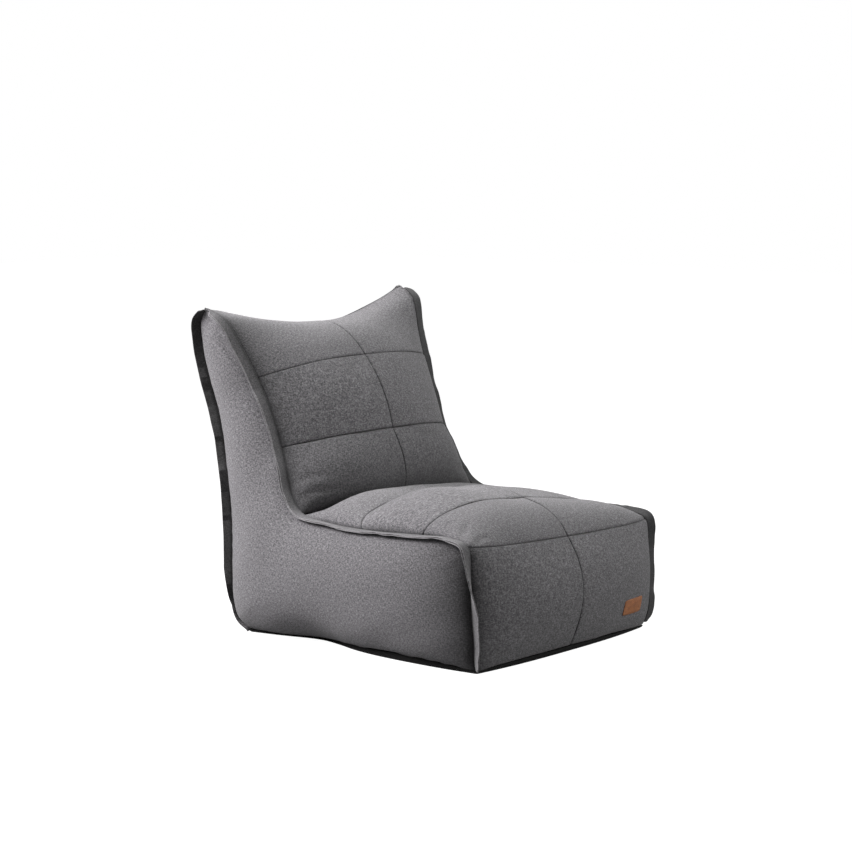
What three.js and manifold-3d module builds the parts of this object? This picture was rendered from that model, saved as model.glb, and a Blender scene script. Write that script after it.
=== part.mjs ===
// Lounge bean bag chair: a sewn cover of quilted panels and edge flanges, a zip in the centre back seam,
// and two liner bags of beads inside. Millimetres, +Z up, the seat faces -Y, the origin is under the middle
// of the chair on the floor. Left and right are the sitter's: left is +X, right is -X.
import * as THREE from "three";
import { mergeVertices } from "three/addons/utils/BufferGeometryUtils.js";
import Module from "manifold-3d";

const wasm = await Module();
wasm.setup();

// ---------- driving dimensions ----------
const COVER = 3; // thickness of a quilted cover panel
const SEAM_GAP = 1.2; // clearance between two panels that are sewn together
const EDGE_GAP = 5; // how far a middle panel stops short of the side seam
const TOP_GAP = 6; // clearance to the ridge seam, where two panels meet at a sharp edge
const FLANGE_WIDTH = 27; // how far an edge flange stands out of its seam
const FLANGE_THICK = 5;
const SIDE_BULGE = 42; // how far a side panel swells at its middle
const BASE_THICK = 3;

const ZIP_BOTTOM = 75;
const ZIP_TOP = 375;
const ZIP_SLOT = 9; // half width of the window between the two rear panels
const TAPE_WIDTH = 17;
const TAPE_THICK = 1;
const TEETH_GAP = 0.9; // half the clearance that the slider's bridge runs in
const TEETH_WIDTH = 3;
const TEETH_THICK = 2.4;

const TAG = { x: 236, along: 1.26, width: 90, height: 40, thick: 2, standOff: 2.4 };

// A rib is one cross-section of the middle of the cover:
// [side seam y, side seam z, half width there, centre line y, centre line z].
const FRONT_AND_SEAT_RIBS = [
  [-411, 8, 346, -433, 14], // seam to the base
  [-418, 60, 352, -455, 70],
  [-415, 130, 356, -470, 140],
  [-409, 220, 359, -458, 222],
  [-400, 288, 360, -424, 281], // seam from the front to the seat
  [-352, 301, 359, -370, 334],
  [-262, 300, 356, -287, 362], // first cross seam
  [-165, 299, 351, -165, 379],
  [-70, 300, 346, -45, 347], // second cross seam
  [40, 304, 340, 50, 361],
  [138, 319, 333, 110, 323], // crease
];
const BACKREST_RIBS = [
  [140, 323, 333, 107, 327], // crease
  [186, 372, 326, 88, 372],
  [207, 425, 317, 97, 430],
  [228, 469, 310, 129, 500], // third cross seam
  [262, 562, 311, 160, 590],
  [297, 648, 320, 221, 681], // fourth cross seam
  [330, 715, 338, 276, 728],
  [372, 790, 358, 350, 757],
  [424, 818, 366, 416, 743], // ridge seam
];
const REAR_RIBS = [
  [426, 818, 366, 418, 741], // ridge seam
  [452, 778, 360, 454, 714],
  [456, 725, 350, 474, 660],
  [445, 640, 335, 466, 570],
  [420, 530, 324, 436, 480],
  [396, 420, 326, 404, ZIP_TOP + 25],
  [374, 300, 332, 400, 300],
  [364, 160, 340, 400, 170],
  [356, 45, 341, 399, ZIP_BOTTOM - 30],
  [348, 26, 336, 388, 24],
  [322, 9, 328, 352, 8], // seam to the base
];
// The seam to the base, from the rear corner to the front one: [y, half width, height].
const BASE_SEAM = [
  [322, 328, 8],
  [234, 312, 7],
  [121, 288, 8],
  [47, 303, 11],
  [-19, 325, 14],
  [-88, 340, 16],
  [-161, 348, 19],
  [-239, 352, 18],
  [-326, 352, 14],
  [-411, 346, 8],
];
const FOOT = { half: 343, from: 72 }; // how wide the side panels stand above their pinched foot, and up to what height
const SEAMS = { frontToSeat: 4, firstCross: 6, secondCross: 8, thirdCross: 3, fourthCross: 5 };

// ---------- materials ----------
const melange = new THREE.MeshStandardMaterial({ color: 0x6f6d70, roughness: 0.95, metalness: 0 });
const darkLining = new THREE.MeshStandardMaterial({ color: 0x1c1b1a, roughness: 0.9, metalness: 0 });
const blackBase = new THREE.MeshStandardMaterial({ color: 0x0d0d0c, roughness: 0.85, metalness: 0 });
const tanLeather = new THREE.MeshStandardMaterial({ color: 0xa8603a, roughness: 0.6, metalness: 0 });
const linerCloth = new THREE.MeshStandardMaterial({ color: 0xe8e6e0, roughness: 0.9, metalness: 0 });
const beads = new THREE.MeshStandardMaterial({ color: 0xf6f6f4, roughness: 0.8, metalness: 0 });
const zipTape = new THREE.MeshStandardMaterial({ color: 0x202022, roughness: 0.9, metalness: 0 });
const zipNylon = new THREE.MeshStandardMaterial({ color: 0x151517, roughness: 0.5, metalness: 0 });
const zipMetal = new THREE.MeshStandardMaterial({ color: 0x5c5e63, roughness: 0.35, metalness: 1 });

const chair = new THREE.Group();

function addPiece(name, geometry, material) {
  const piece = new THREE.Mesh(geometry, material);
  piece.name = name;
  chair.add(piece);
  return piece;
}

// ---------- shared helpers ----------
const smoothCurve = (points) => new THREE.CatmullRomCurve3(points, false, "centripetal");
const lerp = THREE.MathUtils.lerp;

// A surface through ribs. across runs from -1 (right side seam) to 1 (left side seam), along counts ribs.
function ribSurface(ribs, roundness) {
  const seam = smoothCurve(ribs.map(([y, z, half]) => new THREE.Vector3(half, y, z)));
  const centre = smoothCurve(ribs.map(([, , , y, z]) => new THREE.Vector3(0, y, z)));
  return (across, along) => {
    const share = THREE.MathUtils.clamp(along / (ribs.length - 1), 0, 1);
    const edge = seam.getPoint(share);
    const middle = centre.getPoint(share);
    const fullness = Math.pow(1 - Math.pow(Math.abs(across), roundness), 0.8);
    return new THREE.Vector3(
      across * edge.x,
      lerp(edge.y, middle.y, fullness),
      lerp(edge.z, middle.z, fullness),
    );
  };
}

// The closed solid between a grid of outer points and the same grid of inner points.
function solidFromGrids(outer, inner) {
  const rows = outer.length;
  const columns = outer[0].length;
  const positions = [...outer.flat(), ...inner.flat()].flatMap((p) => [p.x, p.y, p.z]);
  const at = (i, j, layer) => layer * rows * columns + i * columns + j;
  const faces = [];
  const quad = (a, b, c, d) => faces.push(a, b, c, a, c, d);
  for (let i = 0; i < rows - 1; i++)
    for (let j = 0; j < columns - 1; j++) {
      quad(at(i, j, 0), at(i, j + 1, 0), at(i + 1, j + 1, 0), at(i + 1, j, 0));
      quad(at(i, j, 1), at(i + 1, j, 1), at(i + 1, j + 1, 1), at(i, j + 1, 1));
    }
  for (let j = 0; j < columns - 1; j++) {
    quad(at(0, j, 0), at(0, j, 1), at(0, j + 1, 1), at(0, j + 1, 0));
    quad(at(rows - 1, j, 0), at(rows - 1, j + 1, 0), at(rows - 1, j + 1, 1), at(rows - 1, j, 1));
  }
  for (let i = 0; i < rows - 1; i++) {
    quad(at(i, 0, 0), at(i + 1, 0, 0), at(i + 1, 0, 1), at(i, 0, 1));
    quad(at(i, columns - 1, 0), at(i, columns - 1, 1), at(i + 1, columns - 1, 1), at(i + 1, columns - 1, 0));
  }
  return indexed(positions, faces);
}

function indexed(positions, faces) {
  const geometry = new THREE.BufferGeometry();
  geometry.setAttribute("position", new THREE.Float32BufferAttribute(positions, 3));
  geometry.setIndex(faces);
  return geometry;
}

// One sewn panel: a patch of a surface with the cover's thickness laid inwards. innerEdge gives where the
// panel starts, as a share of the half width, at a place along it.
function panel(surface, innerEdge, [alongFrom, alongTo], [columns, rows]) {
  const outer = [];
  const inner = [];
  const step = 0.02;
  for (let i = 0; i <= rows; i++) {
    const along = lerp(alongFrom, alongTo, i / rows);
    const outerRow = [];
    const innerRow = [];
    for (let j = 0; j <= columns; j++) {
      const across = lerp(innerEdge(along), OUTER_EDGE, j / columns);
      const point = surface(across, along);
      const sideways = surface(Math.min(across + step, 0.99), along).sub(surface(across - step, along));
      const onwards = surface(across, along + step).sub(surface(across, along - step));
      const outward = sideways.cross(onwards).normalize();
      outerRow.push(point);
      innerRow.push(point.clone().addScaledVector(outward, -COVER));
    }
    outer.push(outerRow);
    inner.push(innerRow);
  }
  return solidFromGrids(outer, inner);
}

function mirrored(geometry) {
  const copy = geometry.clone().applyMatrix4(new THREE.Matrix4().makeScale(-1, 1, 1));
  const index = copy.index.array;
  for (let i = 0; i < index.length; i += 3) [index[i + 1], index[i + 2]] = [index[i + 2], index[i + 1]];
  return copy;
}

// Adds the left piece and its mirror image on the right.
function addPair(name, geometry, material) {
  addPiece(`left_${name}`, geometry, material);
  addPiece(`right_${name}`, mirrored(geometry), material);
}

const box = (x, y, z, [px, py, pz]) => new THREE.BoxGeometry(x, y, z).translate(px, py, pz);

function toSolid(geometry) {
  const bare = geometry.clone();
  bare.deleteAttribute("normal");
  bare.deleteAttribute("uv");
  const merged = mergeVertices(bare, 1e-3);
  const triVerts = new Uint32Array(merged.index.array);
  const vertProperties = merged.attributes.position.array;
  return new wasm.Manifold(new wasm.Mesh({ numProp: 3, vertProperties, triVerts }));
}

function fromSolid(solid) {
  const mesh = solid.getMesh();
  return indexed(Array.from(mesh.vertProperties), Array.from(mesh.triVerts));
}

const joined = (geometries) =>
  fromSolid(geometries.map(toSolid).reduce((whole, next) => whole.add(next)));

// ---------- the middle of the cover: front, seat, backrest and rear ----------
const frontAndSeat = ribSurface(FRONT_AND_SEAT_RIBS, 3.2);
const backrest = ribSurface(BACKREST_RIBS, 2.4);
const rear = ribSurface(REAR_RIBS, 2.4);
const HALF = 340; // nominal half width, which turns a gap in millimetres into a share of across
const OUTER_EDGE = 1 - EDGE_GAP / HALF;
const centreSeam = () => SEAM_GAP / 2 / HALF;
// The rear panels part along the zip, and meet in a seam above and below it.
const ZIP_RIBS = { from: 5, to: 8 };
const zipWindow = (along) =>
  (along > ZIP_RIBS.from - 0.01 && along < ZIP_RIBS.to + 0.01 ? ZIP_SLOT : SEAM_GAP / 2) / HALF;

const RIB_PITCH = 80; // nominal distance between two ribs
const GAP = SEAM_GAP / 2 / RIB_PITCH;
const lastBack = BACKREST_RIBS.length - 1;
const lastSeat = FRONT_AND_SEAT_RIBS.length - 1;
const lastRear = REAR_RIBS.length - 1;
const RIDGE = TOP_GAP / RIB_PITCH;

const MIDDLE_PANELS = [
  ["front_panel", frontAndSeat, 0, SEAMS.frontToSeat, 4],
  ["seat_front_panel", frontAndSeat, SEAMS.frontToSeat, SEAMS.firstCross, 3],
  ["seat_middle_panel", frontAndSeat, SEAMS.firstCross, SEAMS.secondCross, 2],
  ["seat_rear_panel", frontAndSeat, SEAMS.secondCross, lastSeat - 0.05, 3],
  ["backrest_lower_panel", backrest, 0.05, SEAMS.thirdCross, 4],
  ["backrest_middle_panel", backrest, SEAMS.thirdCross, SEAMS.fourthCross, 3],
  ["backrest_upper_panel", backrest, SEAMS.fourthCross, lastBack - RIDGE, 4],
];
for (const [name, surface, from, to, rows] of MIDDLE_PANELS)
  addPair(name, panel(surface, centreSeam, [from + GAP, to - GAP], [5, rows]), melange);
addPair("rear_panel", panel(rear, zipWindow, [RIDGE, lastRear - GAP], [5, 18]), melange);

// ---------- side panels ----------
// A side panel is a bent band. Its inner edge follows the front seam from the top corner down the backrest
// and along the seat, its outer edge follows the rear seam and then the base, and it ends at the front seam.
const seamPoint = ([y, z, half]) => new THREE.Vector3(half, y, z);
const frontSeam = smoothCurve([...FRONT_AND_SEAT_RIBS.slice(0, lastSeat), ...BACKREST_RIBS].map(seamPoint));
const rearSeam = smoothCurve(REAR_RIBS.map(seamPoint));
const BAND_BACK_ROWS = 10;
const BAND_SEAT_ROWS = 9;

const baseSeam = smoothCurve(BASE_SEAM.map(([y, half, z]) => new THREE.Vector3(half, y, z)));

const seamCount = lastSeat + lastBack;
const creaseShare = lastSeat / seamCount;
const cornerShare = SEAMS.frontToSeat / seamCount;

function sideBandPoint(row, across, lift) {
  const seatShare = Math.max(0, row - BAND_BACK_ROWS) / BAND_SEAT_ROWS;
  const backShare = Math.min(row, BAND_BACK_ROWS) / BAND_BACK_ROWS;
  const onBack = row <= BAND_BACK_ROWS;
  const innerShare = onBack ? lerp(1, creaseShare, backShare) : lerp(creaseShare, cornerShare, seatShare);
  const inner = frontSeam.getPoint(innerShare);
  const outer = onBack ? rearSeam.getPoint(backShare) : baseSeam.getPoint(seatShare);
  const width = inner.distanceTo(outer);
  const straightFoot = lerp(FOOT.half, FRONT_AND_SEAT_RIBS[0][2], seatShare);
  const pinch = onBack && outer.z > FOOT.from ? 0 : straightFoot - outer.x;
  outer.x += pinch;
  const point = inner.clone().lerp(outer, across);
  if (!onBack) {
    const curved = frontSeam.getPoint(lerp(cornerShare, 0, across));
    const top = frontSeam.getPoint(cornerShare);
    const straight = top.lerp(frontSeam.getPoint(0), across);
    point.addScaledVector(curved.sub(straight), seatShare);
  }
  const arc = Math.pow(1 - Math.pow(Math.abs(2 * across - 1), 2.5), 0.8);
  const toFront = Math.min(1, (1 - seatShare) * 2.2);
  const ending = Math.sqrt(1 - Math.pow(1 - toFront, 2));
  point.x += Math.min(SIDE_BULGE, width * 0.16) * arc * ending - pinch * Math.pow(across, 6) + lift;
  return point;
}

function sidePanel() {
  const lastRow = BAND_BACK_ROWS + BAND_SEAT_ROWS;
  const rows = [0.25];
  for (let row = 1; row < lastRow; row++) rows.push(row);
  rows.push(lastRow - 0.04);
  const columns = [0.988, 0.9, 0.7, 0.5, 0.3, 0.1, 0.012];
  const grid = (lift) => rows.map((row) => columns.map((across) => sideBandPoint(row, across, lift)));
  return solidFromGrids(grid(0), grid(-COVER));
}
addPair("side_panel", sidePanel(), melange);

// ---------- edge flanges ----------
// A flange is the two sewn seam allowances standing out of a seam. tilt turns it from straight sideways
// towards the surface's outward direction.
function flange(seam, [from, to], steps, tilt, width) {
  const outer = [];
  const inner = [];
  for (let i = 0; i <= steps; i++) {
    const share = lerp(from, to, i / steps);
    const root = seam.getPoint(share);
    const tangent = seam.getTangent(share);
    const outward = new THREE.Vector3(1, 0, 0).cross(new THREE.Vector3(0, tangent.y, tangent.z)).normalize();
    const sideways = new THREE.Vector3(1, 0, 0);
    const reach = sideways.clone().multiplyScalar(Math.cos(tilt)).addScaledVector(outward, Math.sin(tilt));
    root.addScaledVector(outward, 1.8).addScaledVector(sideways, -2);
    const low = [root.clone(), root.clone().addScaledVector(reach, width + 2)];
    const high = low.map((p) => p.clone().addScaledVector(outward, FLANGE_THICK));
    inner.push(low);
    outer.push(high);
  }
  return solidFromGrids(outer, inner);
}
addPair("front_flange", flange(frontSeam, [0.004, 0.985], 44, 0.12, FLANGE_WIDTH), melange);
addPair("rear_flange", flange(rearSeam, [0.014, 0.86], 26, 0.7, FLANGE_WIDTH - 3), darkLining);

// ---------- base ----------
// The base lies flat on the floor and turns up at its rim to meet the other panels.
const BASE_BOW = { front: 22, back: 30 }; // how far the front and rear seams bow out at their middle
function basePanel() {
  const shares = [-1, -0.96, -0.9, -0.8, -0.5, 0, 0.5, 0.8, 0.9, 0.96, 1];
  const rimRise = (share) => Math.pow(THREE.MathUtils.clamp((Math.abs(share) - 0.8) / 0.2, 0, 1), 2);
  const grid = (lift) =>
    shares.map((v) =>
      shares.map((u) => {
        const seam = baseSeam.getPoint((1 - v) / 2);
        const seamBow = 1 - Math.pow(Math.abs(u), 2.4);
        const endBow = Math.pow(Math.abs(v), 6) * (v < 0 ? -BASE_BOW.front : BASE_BOW.back);
        const y = seam.y * (1 - EDGE_GAP / 400) + endBow * seamBow;
        const rim = Math.max(rimRise(u) * (seam.z - 2), rimRise(v) * (5 + 6 * seamBow));
        return new THREE.Vector3(u * (seam.x - EDGE_GAP), y, rim + lift);
      }),
    );
  return solidFromGrids(grid(BASE_THICK), grid(0));
}
addPiece("base_panel", basePanel(), blackBase);

// ---------- leather tag ----------
function leatherTag() {
  const across = TAG.x / 352;
  const tagCentre = frontAndSeat(across, TAG.along);
  const right = frontAndSeat(across + 0.06, TAG.along).sub(frontAndSeat(across - 0.06, TAG.along));
  const up = frontAndSeat(across, TAG.along + 0.25).sub(frontAndSeat(across, TAG.along - 0.25));
  right.normalize();
  const out = right.clone().cross(up).normalize();
  up.copy(out).cross(right).normalize();
  const placed = new THREE.Matrix4().makeBasis(right, up, out);
  placed.setPosition(tagCentre.addScaledVector(out, TAG.thick / 2 + TAG.standOff));
  return new THREE.BoxGeometry(TAG.width, TAG.height, TAG.thick, 2, 2, 1).applyMatrix4(placed);
}
addPiece("leather_tag", leatherTag(), tanLeather);

// ---------- zip in the centre back seam ----------
const ZIP_Y = 400 - COVER - 1.5; // outer face of the tapes, just inside the rear panels
const zipLength = ZIP_TOP - ZIP_BOTTOM;
const zipMiddle = (ZIP_TOP + ZIP_BOTTOM) / 2;

function zipHalf() {
  const tapeX = TEETH_GAP + 1 + TAPE_WIDTH / 2;
  return box(TAPE_WIDTH, TAPE_THICK, zipLength + 16, [tapeX, ZIP_Y - TAPE_THICK / 2, zipMiddle]);
}

function teethRow() {
  const pitch = 10;
  const rail = box(TEETH_WIDTH - 1.4, TEETH_THICK - 1.2, zipLength, [
    TEETH_GAP + 1.4 + (TEETH_WIDTH - 1.4) / 2,
    ZIP_Y + 0.3 + (TEETH_THICK - 1.2) / 2,
    zipMiddle,
  ]);
  const teeth = [];
  for (let z = ZIP_BOTTOM + pitch / 2; z < ZIP_TOP; z += pitch)
    teeth.push(box(TEETH_WIDTH, TEETH_THICK, pitch * 0.55, [
      TEETH_GAP + TEETH_WIDTH / 2,
      ZIP_Y + 0.3 + TEETH_THICK / 2,
      z,
    ]));
  return joined([rail, ...teeth]);
}
addPair("zip_tape", zipHalf(), zipTape);
addPair("zip_teeth", teethRow(), zipNylon);
addPiece("zip_top_stop", box(7, 2, 3, [0, ZIP_Y + 1.4, ZIP_TOP + 3.5]), zipMetal);
addPiece("zip_bottom_stop", box(8, 2, 4, [0, ZIP_Y + 1.4, ZIP_BOTTOM - 4]), zipMetal);

// The slider is closed at the top of the zip. Its bridge runs in the clearance between the teeth.
const SLIDER = { z: ZIP_TOP - 8, height: 14, width: 11, plate: 1.2 };
const SLIDER_FRONT = ZIP_Y + 0.3 + TEETH_THICK + 0.4;
const SLIDER_BACK = ZIP_Y - TAPE_THICK - 0.4;
const LUG = { depth: 4.2, bar: 1.1, width: 1.6 };

function zipSlider() {
  const lugCentre = SLIDER_FRONT + SLIDER.plate;
  return joined([
    box(SLIDER.width, SLIDER.plate, SLIDER.height, [0, SLIDER_FRONT + SLIDER.plate / 2, SLIDER.z]),
    box(SLIDER.width, SLIDER.plate, SLIDER.height, [0, SLIDER_BACK - SLIDER.plate / 2, SLIDER.z]),
    box(0.9, SLIDER_FRONT - SLIDER_BACK + 0.4, 4, [0, (SLIDER_FRONT + SLIDER_BACK) / 2, SLIDER.z + 4]),
    box(LUG.width, LUG.depth, LUG.bar, [0, lugCentre + LUG.depth / 2 - 0.2, SLIDER.z + 4]),
    box(LUG.width, LUG.depth, LUG.bar, [0, lugCentre + LUG.depth / 2 - 0.2, SLIDER.z - 2]),
    box(LUG.width, LUG.bar, 6 + LUG.bar, [0, lugCentre + LUG.depth - LUG.bar / 2 - 0.2, SLIDER.z + 1]),
  ]);
}
addPiece("zip_slider", zipSlider(), zipMetal);

// The pull hangs from the slider's lug by a crossbar.
const PULL_PIN = { y: SLIDER_FRONT + SLIDER.plate + 1.4, z: SLIDER.z - 0.2, thick: 1.2, gap: 2.6, width: 8 };
function zipPull() {
  const { y, z, thick, gap, width } = PULL_PIN;
  const arm = (width / 2 - gap / 2) / 2;
  return joined([
    box(width, thick, thick, [0, y, z]),
    box(2 * arm, thick, 10, [gap / 2 + arm, y, z - 4.4]),
    box(2 * arm, thick, 10, [-gap / 2 - arm, y, z - 4.4]),
    box(width, thick, 20, [0, y, z - 18]),
  ]);
}
addPiece("zip_pull", zipPull(), zipMetal);

// ---------- bead fill and liner bags ----------
// A bag is a stack of cross-sections with eight-sided-or-more outlines, closed at both ends.
function bag(sections) {
  const count = sections[0].length;
  const positions = sections.flat().flatMap((p) => [p.x, p.y, p.z]);
  const faces = [];
  for (let i = 0; i < sections.length - 1; i++)
    for (let j = 0; j < count; j++) {
      const k = (j + 1) % count;
      const [a, b, c, d] = [i * count + j, i * count + k, (i + 1) * count + k, (i + 1) * count + j];
      faces.push(a, b, c, a, c, d);
    }
  const top = (sections.length - 1) * count;
  for (let j = 1; j < count - 1; j++) {
    faces.push(0, j + 1, j);
    faces.push(top, top + j, top + j + 1);
  }
  return indexed(positions, faces);
}

const OUTLINE_POINTS = 24;
function roundedOutline(halfWidth, halfDepth, power, place) {
  const points = [];
  for (let i = 0; i < OUTLINE_POINTS; i++) {
    const turn = (2 * Math.PI * i) / OUTLINE_POINTS;
    const [c, s] = [Math.cos(turn), Math.sin(turn)];
    const round = (v) => Math.sign(v) * Math.pow(Math.abs(v), 2 / power);
    points.push(place(round(c) * halfWidth, round(s) * halfDepth));
  }
  return points;
}

// Seat bag: [y, half width, lowest z, highest z], from the rear to the front.
const SEAT_BAG = [
  [352, 296, 44, 285],
  [330, 308, 30, 300],
  [150, 312, 36, 306],
  [60, 312, 38, 322],
  [-150, 320, 16, 338],
  [-300, 326, 14, 318],
  [-380, 322, 18, 286],
  [-415, 306, 40, 240],
];
// Backrest bag: [z, half width, front y at the middle, rear y at the middle], from the bottom up.
const BACK_BAG = [
  [326, 284, 158, 340],
  [356, 292, 140, 352],
  [430, 288, 152, 370],
  [500, 284, 176, 400],
  [600, 290, 216, 436],
  [680, 298, 272, 446],
  [722, 290, 330, 440],
];

function seatBag(inset) {
  return bag(SEAT_BAG.map(([y, half, low, high], i) => {
    const end = i === 0 ? inset : i === SEAT_BAG.length - 1 ? -inset : 0;
    return roundedOutline(half - inset, (high - low) / 2 - inset, 4.5, (x, z) =>
      new THREE.Vector3(x, y - end, (high + low) / 2 + z));
  }));
}

function backBag(inset) {
  return bag(BACK_BAG.map(([z, half, front, back], i) => {
    const end = i === 0 ? inset : i === BACK_BAG.length - 1 ? -inset : 0;
    return roundedOutline(half - inset, (back - front) / 2 - inset, 3.2, (x, y) =>
      new THREE.Vector3(x, (front + back) / 2 + y, z + end));
  }));
}

const LINER_THICK = 1.5;
const FILL_CLEARANCE = 2.2;
const PORT = { width: 120, height: 26, seatZ: 180, backZ: 366, depth: 60, rearY: 345 };

function liner(makeBag, portZ) {
  const shell = toSolid(makeBag(0)).subtract(toSolid(makeBag(LINER_THICK)));
  const port = toSolid(box(PORT.width, PORT.depth, PORT.height, [0, PORT.rearY, portZ]));
  return fromSolid(shell.subtract(port));
}
addPiece("seat_liner_bag", liner(seatBag, PORT.seatZ), linerCloth);
addPiece("back_liner_bag", liner(backBag, PORT.backZ), linerCloth);
addPiece("seat_bead_fill", seatBag(FILL_CLEARANCE), beads);
addPiece("back_bead_fill", backBag(FILL_CLEARANCE), beads);
// Each port is shut by a strip of hook-and-loop tape over its rear face.
const CLOSURE = { width: 150, height: 50, thick: 2, seatY: 354.5, backY: 358, backLean: 0.24 };
const closure = (lean, y, z) =>
  new THREE.BoxGeometry(CLOSURE.width, CLOSURE.thick, CLOSURE.height).rotateX(lean).translate(0, y, z);
addPiece("seat_liner_closure", closure(0, CLOSURE.seatY, PORT.seatZ), linerCloth);
addPiece("back_liner_closure", closure(-CLOSURE.backLean, CLOSURE.backY, PORT.backZ), linerCloth);

export default chair;
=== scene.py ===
"""Looks for the lounge bean bag chair: a quilted melange cover with edge flanges, a zip and two liner bags.

Metres, +Z up, the seat faces -Y, left and right are the sitter's: left is +X, right is -X.
"""
import math

import bpy
import numpy as np
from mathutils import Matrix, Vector


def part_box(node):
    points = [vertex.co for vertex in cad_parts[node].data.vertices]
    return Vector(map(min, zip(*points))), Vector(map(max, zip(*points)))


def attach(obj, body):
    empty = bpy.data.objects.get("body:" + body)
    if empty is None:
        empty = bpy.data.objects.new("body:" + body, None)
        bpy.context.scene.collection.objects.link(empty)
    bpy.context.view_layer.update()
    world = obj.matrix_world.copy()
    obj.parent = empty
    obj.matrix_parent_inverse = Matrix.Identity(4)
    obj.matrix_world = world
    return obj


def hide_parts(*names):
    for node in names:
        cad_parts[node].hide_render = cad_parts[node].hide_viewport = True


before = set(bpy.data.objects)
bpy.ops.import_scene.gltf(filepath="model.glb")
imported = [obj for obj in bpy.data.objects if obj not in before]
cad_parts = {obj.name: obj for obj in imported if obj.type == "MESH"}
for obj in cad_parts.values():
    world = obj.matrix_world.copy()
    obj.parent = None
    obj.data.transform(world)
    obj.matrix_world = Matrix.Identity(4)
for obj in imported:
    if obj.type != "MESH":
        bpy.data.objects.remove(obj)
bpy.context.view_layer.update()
BODY = "chair"

# ---------- measures of the cover ----------
# A rib is one cross-section of the middle of the cover, in millimetres: [side seam y, side seam z, half
# width].
# The first rib is at the seam to the base and the last at the ridge seam.
SIDE_SEAM = [
    [-411, 6, 346], [-418, 60, 352], [-415, 130, 356], [-409, 220, 359],
    [-400, 288, 360],  # 4, front to seat
    [-352, 301, 359],
    [-262, 300, 356],  # 6, first cross seam
    [-165, 299, 351],
    [-70, 300, 346],  # 8, second cross seam
    [40, 304, 340],
    [138, 319, 333],  # 10, crease
    [186, 372, 326], [207, 425, 317],
    [228, 469, 310],  # 13, third cross seam
    [262, 562, 311],
    [297, 648, 320],  # 15, fourth cross seam
    [330, 715, 338], [372, 790, 358],
    [424, 818, 366],  # 18, ridge
]
# How far the beads of a row have slumped, at its start and at its end.
SLUMP = {"seat_front": (0, 1), "seat_middle": (1, 1), "seat_rear": (1, 0.6), "backrest_lower": (0.6, 0)}
# How the seat's front and the ridge have twisted about the middle.
LEAN_FORWARD, LEAN_FOOT, LEAN_DOWN, LEAN_RIDGE = 0.003, 0.010, 0.010, 0.0105
# The seam to the base on one side, from the rear corner to the front one, in millimetres: [y, half width,
# height].
BASE_SEAM = [
    [322, 328, 7], [234, 312, 6], [121, 288, 7], [47, 303, 10], [-19, 325, 13], [-88, 340, 15],
    [-161, 348, 18], [-239, 352, 17], [-326, 352, 13], [-411, 346, 6],
]
# Each row of panels: (first rib, last rib, fullness at its start, fullness at its end, centre line). Fullness
# is (squareness, steepness), and the centre line is [y, z] points in millimetres.
ROWS = {
    "front": (0, 4, (2.6, 0.7), (3.0, 0.7), [[-433, 14], [-460, 82], [-471, 150], [-458, 222], [-424, 281]]),
    "seat_front": (4, 6, (3.0, 0.7), (5.0, 0.5), [[-424, 281], [-398, 314], [-346, 346], [-287, 362]]),
    "seat_middle": (6, 8, (5.0, 0.5), (5.5, 0.5),
                    [[-287, 362], [-220, 378], [-145, 378], [-85, 366], [-45, 347]]),
    "seat_rear": (8, 10, (5.5, 0.5), (4.0, 0.6), [[-45, 347], [5, 361], [60, 359], [110, 323]]),
    "backrest_lower": (10, 13, (4.0, 0.6), (2.6, 0.75),
                       [[110, 323], [88, 362], [88, 410], [102, 452], [129, 500]]),
    "backrest_middle": (13, 15, (2.6, 0.75), (2.5, 0.8), [[129, 500], [147, 562], [179, 626], [221, 681]]),
    "backrest_upper": (15, 18, (2.5, 0.8), (1.7, 1.15),
                       [[221, 681], [264, 722], [322, 752], [380, 757], [418, 742]]),
}
# The rear, from the ridge down to the base: side seam [y, z, half width] and centre line [y, z].
REAR_SEAM = [
    [424, 818, 366], [452, 778, 360], [456, 725, 350], [445, 640, 335], [420, 530, 324],
    [396, 420, 326], [374, 300, 332], [364, 160, 340], [360, 72, 343], [350, 30, 337], [322, 7, 328],
]
REAR_CENTRE = [
    [418, 742], [454, 714], [474, 660], [466, 570], [436, 480], [404, 400], [400, 300], [400, 170],
    [400, 70], [392, 28], [352, 8],
]
PANEL_THICK = 0.003
GRID = 0.010  # spacing of the mesh across a panel before it is subdivided
FLANGE_WIDTH = 0.027
# The zip's two ends, and how far each rear half is moved beside it.
ZIP_BOTTOM, ZIP_TOP, ZIP_WINDOW = 0.075, 0.375, 0.009


# ---------- lines and sheets ----------
def spline(points):
    """A smooth line through points, as a function of the place along it counted in points."""
    p = np.asarray(points, float)
    q = np.vstack([2 * p[0] - p[1], p, 2 * p[-1] - p[-2]])

    def at(t):
        t = np.clip(np.asarray(t, float), 0, len(p) - 1)
        i = np.minimum(t.astype(int), len(p) - 2)
        s = (t - i)[..., None]
        p0, p1, p2, p3 = (q[i + k] for k in range(4))
        d0, d1, d2 = (
            np.sqrt(np.maximum(np.linalg.norm(b - a, axis=-1, keepdims=True), 1e-6))
            for a, b in ((p0, p1), (p1, p2), (p2, p3))
        )
        m1 = ((p1 - p0) / d0 - (p2 - p0) / (d0 + d1) + (p2 - p1) / d1) * d1
        m2 = ((p2 - p1) / d1 - (p3 - p1) / (d1 + d2) + (p3 - p2) / d2) * d1
        return (
            (2 * s**3 - 3 * s**2 + 1) * p1 + (s**3 - 2 * s**2 + s) * m1
            + (3 * s**2 - 2 * s**3) * p2 + (s**3 - s**2) * m2
        )

    return at


def seam_points(ribs):
    """Side seam ribs in millimetres as points in metres on the left side."""
    return [[half / 1000, y / 1000, z / 1000] for y, z, half in ribs]


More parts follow.
